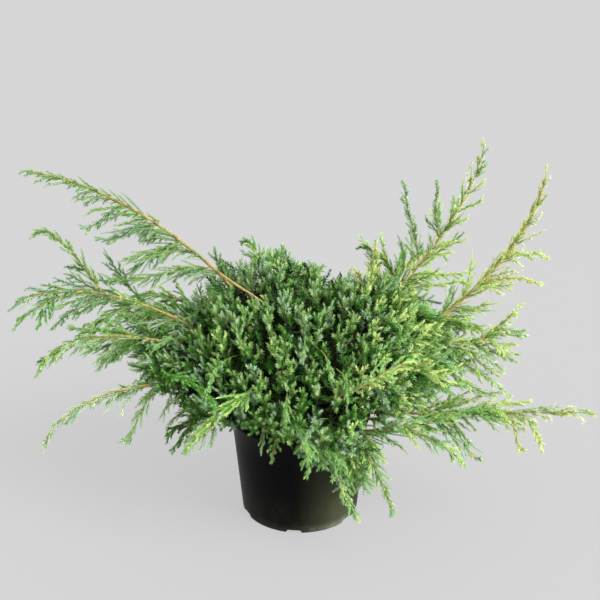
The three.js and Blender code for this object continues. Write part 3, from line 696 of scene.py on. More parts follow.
# The crown's ragged crest: how much its tufts rise or dip at each place from left to right
CREST_FROM = 0.3
CREST_OVER = 0.3
CREST_PLACES = (
    -150, -133, -120, -108, -96, -84, -72, -60, -50, -40, -25, -13, 4, 17, 33, 53, 66, 80, 96, 113, 140)
CREST_RISES = (-26, -24, -8, 14, 8, -8, 4, 2, -30, 14, 6, 0, -30, -10, -36, -44, -10, -34, -18, -10, 0)

# Windows through the crown, as seen from the front: from left to right, and from low to high
VIEW_SLOPE = 0.43
WINDOWS = ((84, 128, 104, 164), (-205, -152, 146, 186), (-116, -88, 334, 356), (-88, -48, 316, 340))

# The hem of the foliage over the pot's front, as seen from there: places from left to right, and heights
HEM_PLACES = (-96, -95, -50, -30, 0, 39, 65, 85, 100)
HEM_HEIGHTS = (-400, 146, 132, 110, 92, 68, 34, 10, -400)

# How far the lowest sprays tuck in under the crown, by heading: least at the front, where they drape
LOW_FROM = 0.15
TUCK_LIFT = 0.3
TUCK_HEADINGS = (0, 60, 120, 180, 225, 262, 278, 298, 308, 318, 330, 345, 360)
TUCKS = (0.34, 0.24, 0.24, 0.3, 0.36, 0.3, 0.12, 0.06, 0.3, 0.44, 0.46, 0.42, 0.34)


def dome_sites(count, salt=4):
    """Places spread evenly over the dome, and the way it faces there."""
    index = np.arange(count)
    rise = mix(CROWN_LOWEST, 1, (index + 0.5) / count)
    level = np.sqrt(1 - rise**2)
    heading = index * GOLDEN_TURN % 360
    swell = mix(CROWN_INNER, CROWN_OUTER, chance(0, index, salt)) + lumps(heading, rise)
    low = np.clip((LOW_FROM - rise) / (LOW_FROM - CROWN_LOWEST), 0, 1)
    tuck = low * np.interp(heading, TUCK_HEADINGS, TUCKS)
    place = outward(heading) * column(level * (1 - tuck)) + UP * column(rise + TUCK_LIFT * tuck)
    facing = unit((outward(heading) * column(level) + UP * column(rise)) / CROWN_RADII)
    tips = place * CROWN_RADII * column(swell) + CROWN_CENTRE
    crest = np.interp(tips[:, 0], CREST_PLACES, CREST_RISES)
    crest = crest * np.clip((rise - CREST_FROM) / CREST_OVER, 0, 1)
    return index, tips + UP * column(crest), facing


def lumps(heading, rise):
    """Hollows and cushions of the crown's face, a hand wide."""
    turn = np.radians(heading)
    waves = (np.sin(5 * turn + 7 * rise + 0.6) + np.sin(8 * turn - 11 * rise + 2.1)
             + np.sin(3 * turn + 15 * rise))
    return LUMP * waves / 3 - CROWN_TOP_DIP * np.clip(rise - CREST_FROM, 0, 1 - CREST_FROM)


def shows(places):
    """Whether each place is clear of the windows and over the hem."""
    across, seen = places[:, 0], places[:, 2] + places[:, 1] * VIEW_SLOPE
    hidden = np.any([
        (across > left) & (across < right) & (seen > low) & (seen < high)
        for left, right, low, high in WINDOWS], axis=0)
    return ~hidden & (seen > np.interp(across, HEM_PLACES, HEM_HEIGHTS))


def crown_mass(places):
    """The number of the crown's mass whose hub is the nearest to each place."""
    return np.linalg.norm(places[:, None] - HUBS[None], axis=-1).argmin(axis=1) + len(LIMBS)


def grow_crown():
    """The crown's plumes with their fingers and stalks, and the strands and sprays over them."""
    index, tips, facing = dome_sites(PLUME_COUNT)
    tips = tips + stray(index, 60) * PLUME_SCATTER
    high = (tips[:, 2] - CROWN_CENTRE[2]) / CROWN_RADII[2]
    index, tips, facing, high = kept(shows(tips), index, tips, facing, high)
    masses = crown_mass(tips)
    right = tips[:, 0] > 0
    flow = np.clip((np.abs(tips[:, 0]) - FLOW_FROM) / FLOW_OVER, 0, 1) * np.where(right, FLOW_RIGHT, 1.0)
    sideways = outward(0) * column(np.sign(tips[:, 0]) * flow)
    lean = mix(np.interp(high, LEAN_HEIGHTS, LEANS), np.where(right, *FLOW_LEANS), flow)
    direction = unit(facing + UP * column(lean) + sideways * column(np.where(right, *FLOW_ASIDE))
                     + stray(index, 20) * PLUME_STRAY)
    roll = chance(2, index, 27)
    length = mix(*PLUME_LENGTHS, chance(2, index, 21)) + FLOW_LENGTH * flow * roll
    roots = tips - direction * column(length)
    tall, short = (
        rise * (chance(2, index, salt) > rare) * (high > from_height)
        for salt, (rise, rare, from_height) in ((31, TALL), (62, SHORT)))
    tips = tips + direction * column(FLOW_OUT * flow * roll + (tall - short))
    tones = crown_tones(tips, index)
    sag = np.where(right, 0.5 * np.minimum(flow, 1), 0) - 0.1
    plumes = twig_curves(roots, direction, length, sag)
    axes = shoots(plumes, "plume", tones, masses, index + PLUME_SEEDS, leafy_from=0.3)
    fingers = side_shoots(axes, "on_plume")
    hubs = HUBS[masses - len(LIMBS)]
    knees = mix(hubs, roots, 0.5) + UP * column(CROWN_LIFT * length)
    stalks = shoots(bowed(hubs, knees, roots), "plume", tones, masses, index + STALK_SEEDS, leafy_from=1.0)
    runners = grow_runners(tips[4::RUNNER_STEP], facing[4::RUNNER_STEP])
    return [axes, fingers, stalks] + runners + grow_hangers() + grow_drape()


def strands(curves, habit_name, deal, rolls, places, seeds, leafy_from, sort):
    """Shoots in the tones of a deal, and a sort of side shoots on them."""
    tones = deal_tones(deal, rolls)
    axes = shoots(curves, habit_name, tones, crown_mass(places), seeds, leafy_from=leafy_from)
    return [axes, side_shoots(axes, sort, deal)]


def grow_hangers():
    """The strands that hang from the crown's face."""
    turns = np.array(HANGERS, float)
    places, aside, drop = turns[:, :3], turns[:, 3], turns[:, 4]
    index = np.arange(len(places))
    roots = places * HANGER_ROOT - UP * HANGER_RISE
    tips = places + np.stack([aside, np.full(len(index), -HANGER_OUT), -drop], axis=-1)
    return strands(bowed(roots, places, tips), "lateral", "strand", chance(8, index, 97), places,
                   index + HANGER_SEEDS, 0.4, "on_hanger")


def grow_runners(places, facing):
    """Long slender shoots that arch out of the crown's face here and there and hang at their tips."""
    index = np.arange(len(places))
    length = mix(*RUNNER_LENGTHS, chance(6, index, 28))
    direction = unit(facing + UP * 0.5 + stray(index, 29) * 0.5)
    roots = places - direction * column(length * 0.55)
    curves = twig_curves(roots, direction, length, RUNNER_DROOP)
    return strands(curves, "lateral", "runner", chance(6, index, 32), places,
                   index + RUNNER_SEEDS, 0.3, "on_runner")


def grow_drape():
    """Sprays that spill over the pot's rim at the front."""
    index = np.arange(DRAPE_COUNT)
    across, fall = chance(7, index, 34), chance(7, index, 35)
    heading = mix(*DRAPE_HEADINGS, across)
    reach = mix(*DRAPE_REACHES, chance(7, index, 36))
    start = outward(heading) * column(reach * 0.6) + UP * DRAPE_START
    knee = outward(heading) * column(reach) + UP * column(mix(*DRAPE_KNEES, fall))
    height = mix(mix(*DRAPE_HIGH, across), mix(*DRAPE_LOW, across), fall)
    tip = outward(heading + 8 * stray(index, 37)[:, 0]) * column(reach) + UP * column(height)
    index, start, knee, tip = kept(shows(tip), index, start, knee, tip)
    return strands(bowed(start, knee, tip), "plume", "drape", chance(7, index, 38), tip,
                   index + DRAPE_SEEDS, 0.35, "on_drape")


def crown_tones(places, index):
    """Greens of the crown: paler at the top and to the right, where light falls, and greyer and darker to
    the left, away from it, as painted shade.
    """
    across, height = places[:, 0], places[:, 2]
    tones = deal_tones("crown", chance(3, index, 22))
    for deal, salt, among, share in (
            ("crown_top", 48, 47, np.clip((height - 300) / 45, 0, 0.9)),
            ("crown_right", 25, 23, np.clip((across - 35) / 110, 0, 0.92)),
            ("crown_left", 26, 24, np.clip((-110 - across) / 120, 0, 0.7))):
        own = chance(3, index, among) < share
        tones = np.where(own, deal_tones(deal, chance(3, index, salt)), tones)
    return tones


def grow_inner():
    """Sprays under the crown's face, which keep the light out, painted dark as shade; on the sunny right
    side they take the paler tone of their tips as painted light.
    """
    batches = []
    for shell, (habit_name, tone, count, near, far) in enumerate(SHELLS):
        index, tips, facing = dome_sites(count, salt=40 + shell)
        depth = mix(near, far, column(chance(4 + shell, index, 41)))
        tips = (tips - CROWN_CENTRE) * depth + CROWN_CENTRE
        index, tips, facing = kept(shows(tips), index, tips, facing)
        direction = unit(facing * 0.5 + stray(index + 1000 * shell, 42))
        length = mix(34, 46, chance(4 + shell, index, 45))
        curves = twig_curves(tips - direction * column(length / 2), direction, length, 0.0)
        # Painted light: the shells turn paler to the right, where the light falls
        sunny = tips[:, 0] > mix(40, 130, chance(4 + shell, index, 46))
        tone = TONE_NAMES.index(tone)
        tones = np.where(sunny, TONE_TIPS[tone], tone)
        seeds = index + INNER_SEEDS + 10000 * shell
        batches.append(shoots(curves, habit_name, tones, crown_mass(tips), seeds))
    return batches


# Needles: three to a whorl, each a thin three-sided blade


ASKEW = np.array([0.31, 0.17, 0.93])
SPIKE = np.array([[0, 1, 3], [1, 2, 3], [2, 0, 3]])
UPPER_FACES = 1
NEEDLE_CLOSING = 0.55
NEEDLE_SHORTENING = 0.4


def grow_needles(batch):
    """The four corners of every needle of a batch of shoots, with its tone and mass."""
    kind = batch.habit
    batch = pick(batch, batch.leafy_from < 1)
    leafy = batch.length * (1 - batch.leafy_from)
    whorls = np.maximum(2, np.round(leafy / kind.pitch)).astype(int)
    owner, rank = numbered(whorls)
    share = mix(batch.leafy_from[owner], 1.0, (rank + 0.7) / whorls[owner])
    curves, seeds = batch.curves[owner], batch.seeds[owner]
    point, along = point_on(curves, share), way_along(curves, share)
    reference = unit(np.cross(along, ASKEW))
    other = np.cross(along, reference)
    corners = []
    for leaf in range(3):
        jitter, bend = (chance(seeds, rank * 3 + leaf, salt) for salt in (50, 52))
        turn = np.radians(60 * rank + 120 * leaf + 360 * chance(seeds, 0, 51) + 24 * (jitter - 0.5))
        radial = turned(reference, other, turn)
        spread = np.radians(kind.spread * mix(0.75, 1.25, bend) * (1 - NEEDLE_CLOSING * share**4))
        ahead, back = turned(along, radial, spread), turned(radial, -along, spread)
        side = np.cross(ahead, back)
        length = kind.needle * mix(0.8, 1.15, jitter) * (1 - NEEDLE_SHORTENING * share**5)
        half = kind.width / 2 * mix(0.9, 1.1, bend)
        foot = point + radial * column(mix(kind.foot, kind.tip, share) * 0.6)
        corners.append(np.stack([
            foot + side * column(half), foot - side * column(half),
            foot + back * column(half * 0.6), foot + ahead * column(length)], axis=1))
    tones = aged_and_shaded(batch.tones[owner], share, kind)
    return np.concatenate(corners), np.tile(tones, 3), np.tile(batch.masses[owner], 3)


def aged_and_shaded(tones, share, kind):
    """Tones darkened at the foot of each shoot, for its older needles and as painted shade deep in the
    spray, and brightened at its tip.
    """
    tips = np.where(share > kind.new_from, TONE_TIPS[tones], tones)
    return np.where(share < kind.dark_foot, TONE_FEET[tones], tips)


# Twigs: three-sided, tapering to a point under the last whorl


TWIG_WOODS = (("young_twigs", "#7f8c46"), ("old_twigs", "#4d452a"))
TWIG_TURNS = np.radians([0.0, 120.0, 240.0])
TWIG_RINGS = {True: (0.0, 0.33, 0.67), False: (0.0,)}
TWIG_END = 0.97
LONG_TWIG = np.array([
    [0, 2, 1], [0, 1, 4], [0, 4, 3], [1, 2, 5], [1, 5, 4], [2, 0, 3], [2, 3, 5], [3, 4, 7],
    [3, 7, 6], [4, 5, 8], [4, 8, 7], [5, 3, 6], [5, 6, 8], [6, 7, 9], [7, 8, 9], [8, 6, 9]])
LONG_TWIG_FROM = 44


def grow_twigs(batch, long):
    """The corners of the long or of the short twigs of a batch: three rings or one, and a point."""
    kind = batch.habit
    batch = pick(batch, (batch.length > LONG_TWIG_FROM) == long)
    rings = []
    for share in TWIG_RINGS[long]:
        share = np.full(len(batch.curves), share)
        point, along = point_on(batch.curves, share), way_along(batch.curves, share)
        across = unit(np.cross(along, ASKEW))
        over = np.cross(across, along)
        radius = column(mix(kind.foot, kind.tip, share))
        rings += [point + (across * math.cos(turn) + over * math.sin(turn)) * radius for turn in TWIG_TURNS]
    rings.append(point_on(batch.curves, np.full(len(batch.curves), TWIG_END)))
    return np.stack(rings, axis=1)


# Shader sums


class Shade:
    """A socket of a finish that can stand in a Python sum."""

    def __init__(self, finish, socket):
        self.finish = finish
        self.socket = socket

    def sum_with(self, operation, first, second):
        return self.finish.add("ShaderNodeMath", {"operation": operation}, {0: first, 1: second})[0]

    def __add__(self, other):
        return self.sum_with("ADD", self, other)

    def __radd__(self, other):
        return self.sum_with("ADD", other, self)

    def __sub__(self, other):
        return self.sum_with("SUBTRACT", self, other)

    def __rsub__(self, other):
        return self.sum_with("SUBTRACT", other, self)

    def __mul__(self, other):
        return self.sum_with("MULTIPLY", self, other)

    def __rmul__(self, other):
        return self.sum_with("MULTIPLY", other, self)

    def clamped(self):
        return self.finish.add("ShaderNodeClamp", {}, {"Value": self})[0]


class Finish:
    """A finish with one Principled shader, whose sockets take plain values or sums of shades."""

    def __init__(self, name, **values):
        self.material = bpy.data.materials.new(name)
        self.material.use_nodes = True
        self.tree = self.material.node_tree
        self.shader = self.tree.nodes["Principled BSDF"]
        for socket, value in values.items():
            self.wear(socket.replace("_", " ").title().replace("Ior", "IOR"), value)

    def wear(self, socket, value):
        self.join(self.shader.inputs[socket], value)

    def join(self, socket, value):
        if isinstance(value, Shade):
            self.tree.links.new(value.socket, socket)
        else:
            socket.default_value = value

    def add(self, kind, settings, values):
        """Any node: its settings first, then the values or links of its sockets."""
        node = self.tree.nodes.new(kind)
        for name, value in settings.items():
            setattr(node, name, value)
        for name, value in values.items():
            self.join(node.inputs[name], value)
        return [Shade(self, socket) for socket in node.outputs]

    def place(self):
        return self.add("ShaderNodeTexCoord", {}, {})[3]

    def noise(self, scale, detail=3.0, roughness=0.5, place=None):
        values = {
            "Vector": place or self.place(), "Scale": scale, "Detail": detail, "Roughness": roughness}
        return self.add("ShaderNodeTexNoise", {}, values)[0]

    def cells(self, scale):
        return self.add("ShaderNodeTexVoronoi", {}, {"Vector": self.place(), "Scale": scale})[0]

    def stretched(self, x, y, z):
        values = {0: self.place(), 1: (x, y, z)}
        return self.add("ShaderNodeVectorMath", {"operation": "MULTIPLY"}, values)[0]

    def parts(self):
        """The place's three parts: across, deep and up."""
        return self.add("ShaderNodeSeparateXYZ", {}, {0: self.place()})

    def between(self, value, low, high):
        """0 below low, 1 above high, and smooth between them."""
        values = {"Value": value, "From Min": low, "From Max": high}
        return self.add("ShaderNodeMapRange", {"interpolation_type": "SMOOTHSTEP"}, values)[0]

    def blend(self, mask, first, second):
        values = {0: mask, 6: first, 7: second}
        return self.add("ShaderNodeMix", {"data_type": "RGBA"}, values)[2]

    def bump(self, height, depth, strength=1.0):
        values = {"Height": height, "Distance": depth, "Strength": strength}
        self.wear("Normal", self.add("ShaderNodeBump", {}, values)[0])


def paint(code):
    """A linear colour from a #rrggbb code."""
    parts = [int(code[i:i + 2], 16) / 255 for i in (1, 3, 5)]
    linear = [part / 12.92 if part <= 0.04045 else ((part + 0.055) / 1.055) ** 2.4 for part in parts]
    return (*linear, 1.0)


def needle_finish(name, code):
    return Finish(name, base_color=paint(code), roughness=0.6, specular_ior_level=0.2).material


def bark_finish():
    bark = Finish("bark", roughness=0.82, specular_ior_level=0.25)
    flakes = bark.cells(260.0)
    grain = bark.noise(420.0, detail=5.0)
    warm = bark.blend(bark.between(grain, 0.35, 0.65), paint("#8d7a44"), paint("#bda865"))
    weathered = bark.between(bark.noise(90.0), 0.52, 0.66)
    bark.wear("Base Color", bark.blend(weathered, warm, paint("#82704c")))
    bark.bump(flakes * 0.6 + grain * 0.4, 0.0006)
    return bark.material


def pot_finish():
    """Black plastic with olive dust along its base, and painted light in the same olive on its right side,
    where the key light falls.
    """
    pot = Finish("nursery_pot", specular_ior_level=0.06)
    across, _, height = pot.parts()
    streaks = pot.between(pot.noise(1.0, detail=4.0, place=pot.stretched(26.0, 26.0, 5.0)), 0.35, 0.7)
    dust = pot.between(pot.noise(60.0, detail=6.0, roughness=0.65), 0.42, 0.72)
    # Painted light: the right side, where the key light falls, fading again towards the far edge
    right = pot.between(across, -0.012, 0.068) - pot.between(across, 0.052, 0.084) * 0.65
    low = 1 - pot.between(height, 0.0, 0.075)
    edge = 1 - pot.between(height, 0.0, 0.016)
    # Painted light on the right side and its lower part, with real dust along the base
    painted_light_and_dust = right * (0.3 + streaks * 0.2) + low * (0.03 + dust * 0.08) + right * low * 0.14
    # Pale dust at the foot, much brighter on the right side as painted light
    edge_dust_and_light = edge * (0.08 + right * 0.5) * (0.4 + dust * 0.6)
    olive = pot.blend(painted_light_and_dust.clamped(), paint("#030304"), paint("#5c6146"))
    pot.wear("Base Color", pot.blend(edge_dust_and_light.clamped(), olive, paint("#a3a58f")))
    pot.wear("Roughness", 0.42 + painted_light_and_dust * 0.4)
    pot.bump(pot.noise(900.0, detail=2.0), 0.00012, 0.5)
    return pot.material


def compost_finish():
    compost = Finish("compost", roughness=0.95, specular_ior_level=0.2)
    crumbs = compost.cells(320.0)
    fibre = compost.noise(520.0, detail=5.0)
    dark = compost.blend(compost.between(fibre, 0.4, 0.62), paint("#22170f"), paint("#4a3625"))
    compost.wear("Base Color", compost.blend(compost.between(crumbs, 0.5, 0.9), dark, paint("#5f4a34")))
    compost.bump(crumbs * 0.7 + fibre * 0.3, 0.0012)
    return compost.material


# Meshes


def mesh_of(name, corners, faces, finishes, face_finish=None, smooth=False):
    """A piece from arrays of corners in millimetres and of triangles."""
    mesh = bpy.data.meshes.new(name)
    mesh.vertices.add(len(corners))
    mesh.vertices.foreach_set("co", (np.asarray(corners, np.float32) * MM).ravel())
    mesh.loops.add(len(faces) * 3)
    mesh.loops.foreach_set("vertex_index", np.asarray(faces, np.int32).ravel())
    mesh.polygons.add(len(faces))
    mesh.polygons.foreach_set("loop_start", np.arange(len(faces), dtype=np.int32) * 3)
    if face_finish is not None:
        mesh.polygons.foreach_set("material_index", np.asarray(face_finish, np.int32))
    mesh.polygons.foreach_set("use_smooth", np.full(len(faces), smooth))
    for finish in finishes:
        mesh.materials.append(finish)
    mesh.update(calc_edges=True)
    mesh.validate()
    piece = bpy.data.objects.new(name, mesh)
    bpy.context.scene.collection.objects.link(piece)
    return piece


def repeated(corners, form):
    """Corners of many like forms in one list, and their faces."""
    count, each = corners.shape[:2]
    faces = form[None] + np.arange(count)[:, None, None] * each
    return corners.reshape(-1, 3), faces.reshape(-1, 3)


def place_piece(piece, slot, *nodes):
    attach(piece, "root")
    if nodes:
        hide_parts(*nodes)


def ring_faces(rings, sides):
    """Faces between rings of corners, with a point at each end."""
    ring, step = np.meshgrid(np.arange(rings - 1), np.arange(sides), indexing="ij")
    here = (ring * sides + step).ravel()
    beside = (ring * sides + (step + 1) % sides).ravel()
    walls = [np.stack([here, beside, beside + sides], axis=1),
             np.stack([here, beside + sides, here + sides], axis=1)]
    step = np.arange(sides)
    after = (step + 1) % sides
    first, last = rings * sides, rings * sides + 1
    top = (rings - 1) * sides
    foot = np.stack([np.full(sides, first), after, step], axis=1)
    head = np.stack([np.full(sides, last), top + step, top + after], axis=1)
    return np.concatenate([*walls, foot, head])


def capped(rings, first, last):
    """Corners and faces of rings of points, closed by a point at each end."""
    corners = np.concatenate([rings.reshape(-1, 3), [first, last]])
    return corners, ring_faces(*rings.shape[:2])


def round_about(radius, height, angle):
    """Points at a radius and a height, at an angle in radians round the upright axis."""
    radius, height, angle = np.broadcast_arrays(radius, height, angle)
    return np.stack([radius * np.cos(angle), radius * np.sin(angle), height], axis=-1)


def joined(forms):
    corners, faces, offset = [], [], 0
    for points, triangles in forms:
        corners.append(points)
        faces.append(triangles + offset)
        offset += len(points)
    return np.concatenate(corners), np.concatenate(faces)


def make_needles(batches):
    """One piece of needles for each mass, with a finish for either side of each tone."""
    corners, tones, masses = (
        np.concatenate(parts) for parts in zip(*(grow_needles(batch) for batch in batches)))
    finishes = [
        (needle_finish(f"needle_{name}_face", face), needle_finish(f"needle_{name}_back", back))
        for name, (face, back, _, _) in TONES.items()]
    backs = np.arange(len(SPIKE)) >= UPPER_FACES
    for number, name in enumerate(MASS_NAMES):
        own = masses == number
        used, finish = np.unique(tones[own], return_inverse=True)
        points, faces = repeated(corners[own], SPIKE)
        face_finish = (finish.reshape(-1, 1) * 2 + backs[None]).ravel()
        slots = [finishes[tone][side] for tone in used for side in (0, 1)]
        piece = mesh_of(f"needles_{name}", points, faces, slots, face_finish)
        slot = "needles_whip" if number < len(LIMBS) else "needles_crown"
        place_piece(piece, slot, f"foliage_{name}")


def make_twigs(batches):
    for wood, (name, code) in enumerate(TWIG_WOODS):
        own = [batch for batch in batches if batch.habit.wood == wood]
        points, faces = joined([
            repeated(np.concatenate([grow_twigs(batch, long) for batch in own]), form)
            for long, form in ((True, LONG_TWIG), (False, SPIKE))])
        finish = Finish(name, base_color=paint(code), roughness=0.75, specular_ior_level=0.2)
        place_piece(mesh_of(name, points, faces, [finish.material]), "bark")


BARK_SIDES = 8
BARK_STEP = 3.2
BRANCH_SIDES = 5
BRANCH_STEP = 7
BRANCH_TIP_RADIUS = 0.45
HUB_RADII = (2.6, 1.6)
HUB_STEP = 6
LIMB_END = 0.97
BRANCH_END = 0.9
BRANCH_BARK_SEEDS = 500
HUB_BARK_SEEDS = 700


def bark_tube(curve, end, radii, seed, sides=BARK_SIDES, step=BARK_STEP):
    """A limb's bark from one radius to another, ridged along it and flaking."""
    steps = max(6, int(length_of(curve) * end / step))
    share = np.linspace(0.0, end, steps + 1)
    centre, along = point_on(curve, share), way_along(curve, share)
    side = unit(np.cross(along[0], UP))
    across = unit(side - along * column(along @ side))
    over = np.cross(across, along)
    turn = np.arange(sides) * 2 * math.pi / sides
    ring, side = np.meshgrid(np.arange(steps + 1), np.arange(sides), indexing="ij")
    ridges = chance(seed, side, 60) - 0.5
    flakes = chance(seed + 1, ring // 3 * sides + side, 61) - 0.5
    grain = chance(seed + 2, ring * sides + side, 62) - 0.5
    reach = column(mix(*radii, share)) * (1 + 0.14 * ridges + 0.14 * flakes + 0.07 * grain)
    rings = (centre[:, None] + across[:, None] * column(reach * np.cos(turn))
             + over[:, None] * column(reach * np.sin(turn)))
    return capped(rings, centre[0], centre[-1])


def make_boughs(leaders, finish):
    """The bark of the limbs, of their branches and of the crown's, as one piece."""
    forms = [
        bark_tube(limb_curve(limb), LIMB_END, (limb.radius, TIP_RADIUS), number * 7)
        for number, limb in enumerate(LIMBS)]
    for seed, leader in enumerate(leaders, BRANCH_BARK_SEEDS):
        if leader.branch:
            radii = (leader.foot, max(BRANCH_TIP_RADIUS, leader.foot * 0.5 - 0.1))
            forms.append(bark_tube(leader.curve, BRANCH_END, radii, seed, BRANCH_SIDES, BRANCH_STEP))
    for seed, one in enumerate(CROWN_MASSES, HUB_BARK_SEEDS):
        forms.append(bark_tube(limb_curve(one), 1.0, HUB_RADII, seed, step=HUB_STEP))
    piece = mesh_of("boughs", *joined(forms), [finish], smooth=True)
    place_piece(piece, "bark", *(f"bough_{limb.name}" for limb in LIMBS))


STEM_SIDES = 32
STEM_RINGS = 30
STEM_TOP_RADIUS = 2.0


def make_stem(finish):
    foot = COMPOST_TOP + SEAT_GAP
    heights = np.linspace(foot, STEM_TOP - 1, STEM_RINGS)
    radius = np.interp(
        heights, [foot, STEM_FLARE_TOP, STEM_SHOULDER, STEM_TOP],
        [STEM_FLARE_RADIUS, STEM_RADIUS, STEM_SHOULDER_RADIUS, STEM_TOP_RADIUS])
    turn = np.arange(STEM_SIDES) * 2 * math.pi / STEM_SIDES
    ring, step = np.meshgrid(np.arange(STEM_RINGS), np.arange(STEM_SIDES), indexing="ij")
    ridges = chance(70, step // 2, 71) - 0.5
    flakes = chance(72, ring // 4 * STEM_SIDES + step // 3, 73) - 0.5
    grain = chance(74, ring * STEM_SIDES + step, 75) - 0.5
    reach = column(radius) * (1 - 0.06 + 0.08 * ridges + 0.08 * flakes + 0.04 * grain)
    form = capped(round_about(reach, heights[:, None], turn), [0, 0, foot], [0, 0, STEM_TOP])
    place_piece(mesh_of("stem_bark", *form, [finish], smooth=True), "bark", "stem")


POT_COLUMNS = 180
POT_SHARP_ANGLE = 40


def wall_radius(height):
    return mix(POT_BASE_RADIUS, POT_RIM_RADIUS, height / POT_HEIGHT)


def make_pot():
    """A turned tub with a rolled lip, and drain notches cut up into the corner of its base."""
    lip = POT_HEIGHT - LIP_DEPTH
    inset = POT_BASE_RADIUS - DRAIN_DEPTH
    plain = [
        (inset, 0), (inset + 0.2, 0), (POT_BASE_RADIUS - 1.6, 0), (POT_BASE_RADIUS - 0.4, 0.4),
        *((wall_radius(height), height) for height in (1.6, DRAIN_HEIGHT + 1.5, 14, 60, 110, lip - 1.5)),
        (wall_radius(lip) + 0.5, lip - 0.3), (LIP_RADIUS - 0.4, lip + 0.4), (LIP_RADIUS, lip + 1.4),
        (LIP_RADIUS, POT_HEIGHT - 1.6), (LIP_RADIUS - 0.6, POT_HEIGHT - 0.4), (LIP_RADIUS - 1.6, POT_HEIGHT),
        (POT_RIM_RADIUS - 0.8, POT_HEIGHT), (POT_RIM_RADIUS - POT_WALL, POT_HEIGHT - 0.8),
        (wall_radius(120) - POT_WALL, 120), (wall_radius(12) - POT_WALL, 12), (70, 7), (40, POT_FLOOR + 1)]
    cut = list(plain)
    cut[1] = (plain[1][0], DRAIN_HEIGHT - 0.4)
    cut[2] = (plain[2][0], DRAIN_HEIGHT)
    cut[3] = (wall_radius(DRAIN_HEIGHT) - 0.3, DRAIN_HEIGHT)
    cut[4] = (wall_radius(DRAIN_HEIGHT + 0.6), DRAIN_HEIGHT + 0.6)
    turn = np.arange(POT_COLUMNS) * 360 / POT_COLUMNS
    step = 360 / DRAIN_COUNT
    from_notch = np.abs((turn - DRAIN_FIRST_HEADING + step / 2) % step - step / 2)
    in_notch = from_notch < math.degrees(DRAIN_WIDTH / 2 / POT_BASE_RADIUS)
    outline = np.where(in_notch[:, None, None], np.array(cut), np.array(plain))
    rings = round_about(outline[..., 0].T, outline[..., 1].T, np.radians(turn))
    form = capped(rings, [0, 0, 0], [0, 0, POT_FLOOR])
    piece = mesh_of("nursery_pot", *form, [pot_finish()], smooth=True)
    piece.data.set_sharp_from_angle(angle=math.radians(POT_SHARP_ANGLE))
    place_piece(piece, "pot_plastic", "pot")


COMPOST_RINGS = 26
COMPOST_SIDES = 120
CRUMB_COUNT = 420
CRUMB_LENGTHS = (1.5, 6)
CRUMB_WIDTHS = (1, 2.4)
CRUMB_FORM = np.array([[0, 2, 1], [0, 1, 3], [1, 2, 3], [2, 0, 3]])
COMPOST_FOOT = 14


def compost_level(radius, edge):
    return np.interp(radius, [0, COMPOST_SHOULDER_RADIUS, edge], [COMPOST_TOP, COMPOST_TOP, COMPOST_EDGE])


def make_compost():
    """Crumbly compost with chips of bark on it, a little below the rim."""
    edge = wall_radius(COMPOST_EDGE) - POT_WALL - SEAT_GAP
    radius = np.linspace(edge, 2, COMPOST_RINGS)
    ring, step = np.meshgrid(np.arange(COMPOST_RINGS), np.arange(COMPOST_SIDES), indexing="ij")
    fine = chance(80, ring * COMPOST_SIDES + step, 81)
    coarse = chance(82, ring // 2 * 60 + step // 2, 83)
    height = compost_level(radius, edge)[:, None] - (fine * 1.6 + coarse * 1.6)
    turn = step * 2 * math.pi / COMPOST_SIDES
    foot_radius = wall_radius(COMPOST_FOOT) - POT_WALL - SEAT_GAP - 0.3
    lower = round_about(foot_radius, COMPOST_FOOT, turn[:1])
    rings = np.concatenate([lower, round_about(radius[:, None], height, turn)])
    body = capped(rings, [0, 0, COMPOST_FOOT], [0, 0, COMPOST_TOP - 1])
    piece = mesh_of("compost_surface", *joined([body, crumbs(edge)]), [compost_finish()])
    place_piece(piece, "compost", "compost")


def crumbs(edge):
    """Chips of bark on the compost, each with three corners round it and one on top."""
    rolls = {salt: chance(84, np.arange(CRUMB_COUNT), salt) for salt in range(85, 91)}
    reach = edge * np.sqrt(mix(0.02, 0.93, rolls[85]))
    middle = outward(360 * rolls[86]) * column(reach)
    middle[:, 2] = compost_level(reach, edge) - 1
    turn = 2 * math.pi * rolls[87]
    long, wide = mix(*CRUMB_LENGTHS, rolls[88] ** 2), mix(*CRUMB_WIDTHS, rolls[89])
    along = np.stack([np.cos(turn), np.sin(turn), mix(-0.2, 0.2, rolls[90])], axis=-1) * column(long)
    aside = np.stack([-np.sin(turn), np.cos(turn), 0 * turn], axis=-1) * column(wide)
    peak = UP * column(mix(0.5, 0.98, wide / CRUMB_WIDTHS[1]))
    corners = np.stack([
        middle + along, middle + aside * 0.8 - along * 0.6, middle - aside - along * 0.5, middle + peak],
        axis=1)
    return repeated(corners, CRUMB_FORM)


# Studio


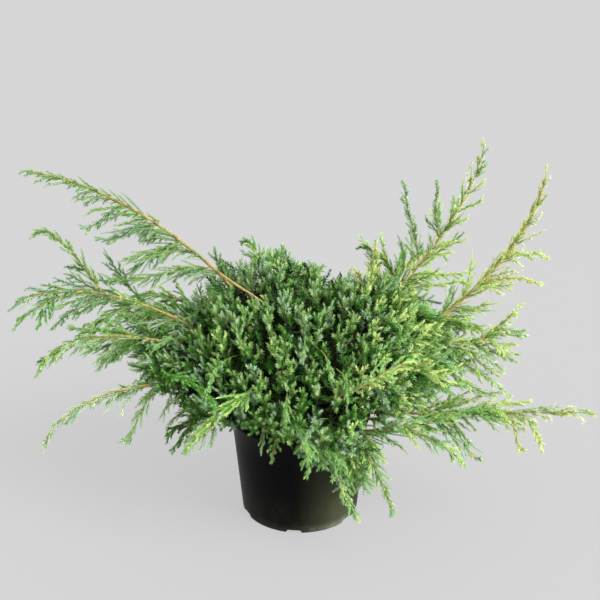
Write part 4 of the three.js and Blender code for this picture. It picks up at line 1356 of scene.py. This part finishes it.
CAMERA_PLACE = (0.0, -1.52347, 0.97187)
CAMERA_AIM = (0.0, 0.0, 0.3126)
CAMERA_LENS = 75
CAMERA_SENSOR = 36
FLOOR_HALF = 14
LIGHT_AIM = (0, 0, 0.2)
SKY_STRENGTH = 1.15
KEY_ENERGY = 3.3
BOX_ENERGY = 14


def aimed(thing, place, aim):
    thing.location = place
    thing.rotation_mode = "QUATERNION"
    thing.rotation_quaternion = (Vector(aim) - Vector(place)).to_track_quat("-Z", "Y")


def make_camera():
    lens = bpy.data.cameras.new("camera")
    lens.lens = CAMERA_LENS
    lens.sensor_width = CAMERA_SENSOR
    camera = bpy.data.objects.new("camera", lens)
    bpy.context.scene.collection.objects.link(camera)
    aimed(camera, CAMERA_PLACE, CAMERA_AIM)
    bpy.context.scene.camera = camera


def make_light(name, kind, place, energy, **settings):
    light = bpy.data.lights.new(name, kind)
    light.energy = energy
    for setting, value in settings.items():
        setattr(light, setting, value)
    lamp = bpy.data.objects.new(name, light)
    bpy.context.scene.collection.objects.link(lamp)
    aimed(lamp, place, LIGHT_AIM)


def make_studio():
    make_camera()
    bpy.context.scene.view_settings.view_transform = "Standard"
    world = bpy.data.worlds.new("studio")
    bpy.context.scene.world = world
    world.use_nodes = True
    sky = world.node_tree.nodes["Background"]
    sky.inputs["Color"].default_value = (1, 1, 1, 1)
    sky.inputs["Strength"].default_value = SKY_STRENGTH
    make_light("key", "SUN", (1.5, -1.0, 1.7), KEY_ENERGY, angle=math.radians(30))
    make_light("low_box", "AREA", (1.5, -1.3, 0.7), BOX_ENERGY, shape="RECTANGLE", size=0.8, size_y=0.8)
    half = FLOOR_HALF / MM
    corners = np.array([[-half, -half, 0], [half, -half, 0], [half, half, 0], [-half, half, 0]])
    floor_paint = Finish("floor", base_color=paint("#555555"), roughness=0.9, specular_ior_level=0.0,
                         emission_color=paint("#ffffff"), emission_strength=0.507)
    floor = mesh_of("floor", corners, np.array([[0, 1, 2], [0, 2, 3]]), [floor_paint.material])


make_studio()
leaders = make_leaders()
batches = [batch for plant, leader in enumerate(leaders) for batch in grow_whip(leader, plant + 1)]
batches += leader_shoots(leaders) + grow_crown() + grow_inner()
bark = bark_finish()
make_needles(batches)
make_twigs(batches)
make_boughs(leaders, bark)
make_stem(bark)
make_pot()
make_compost()
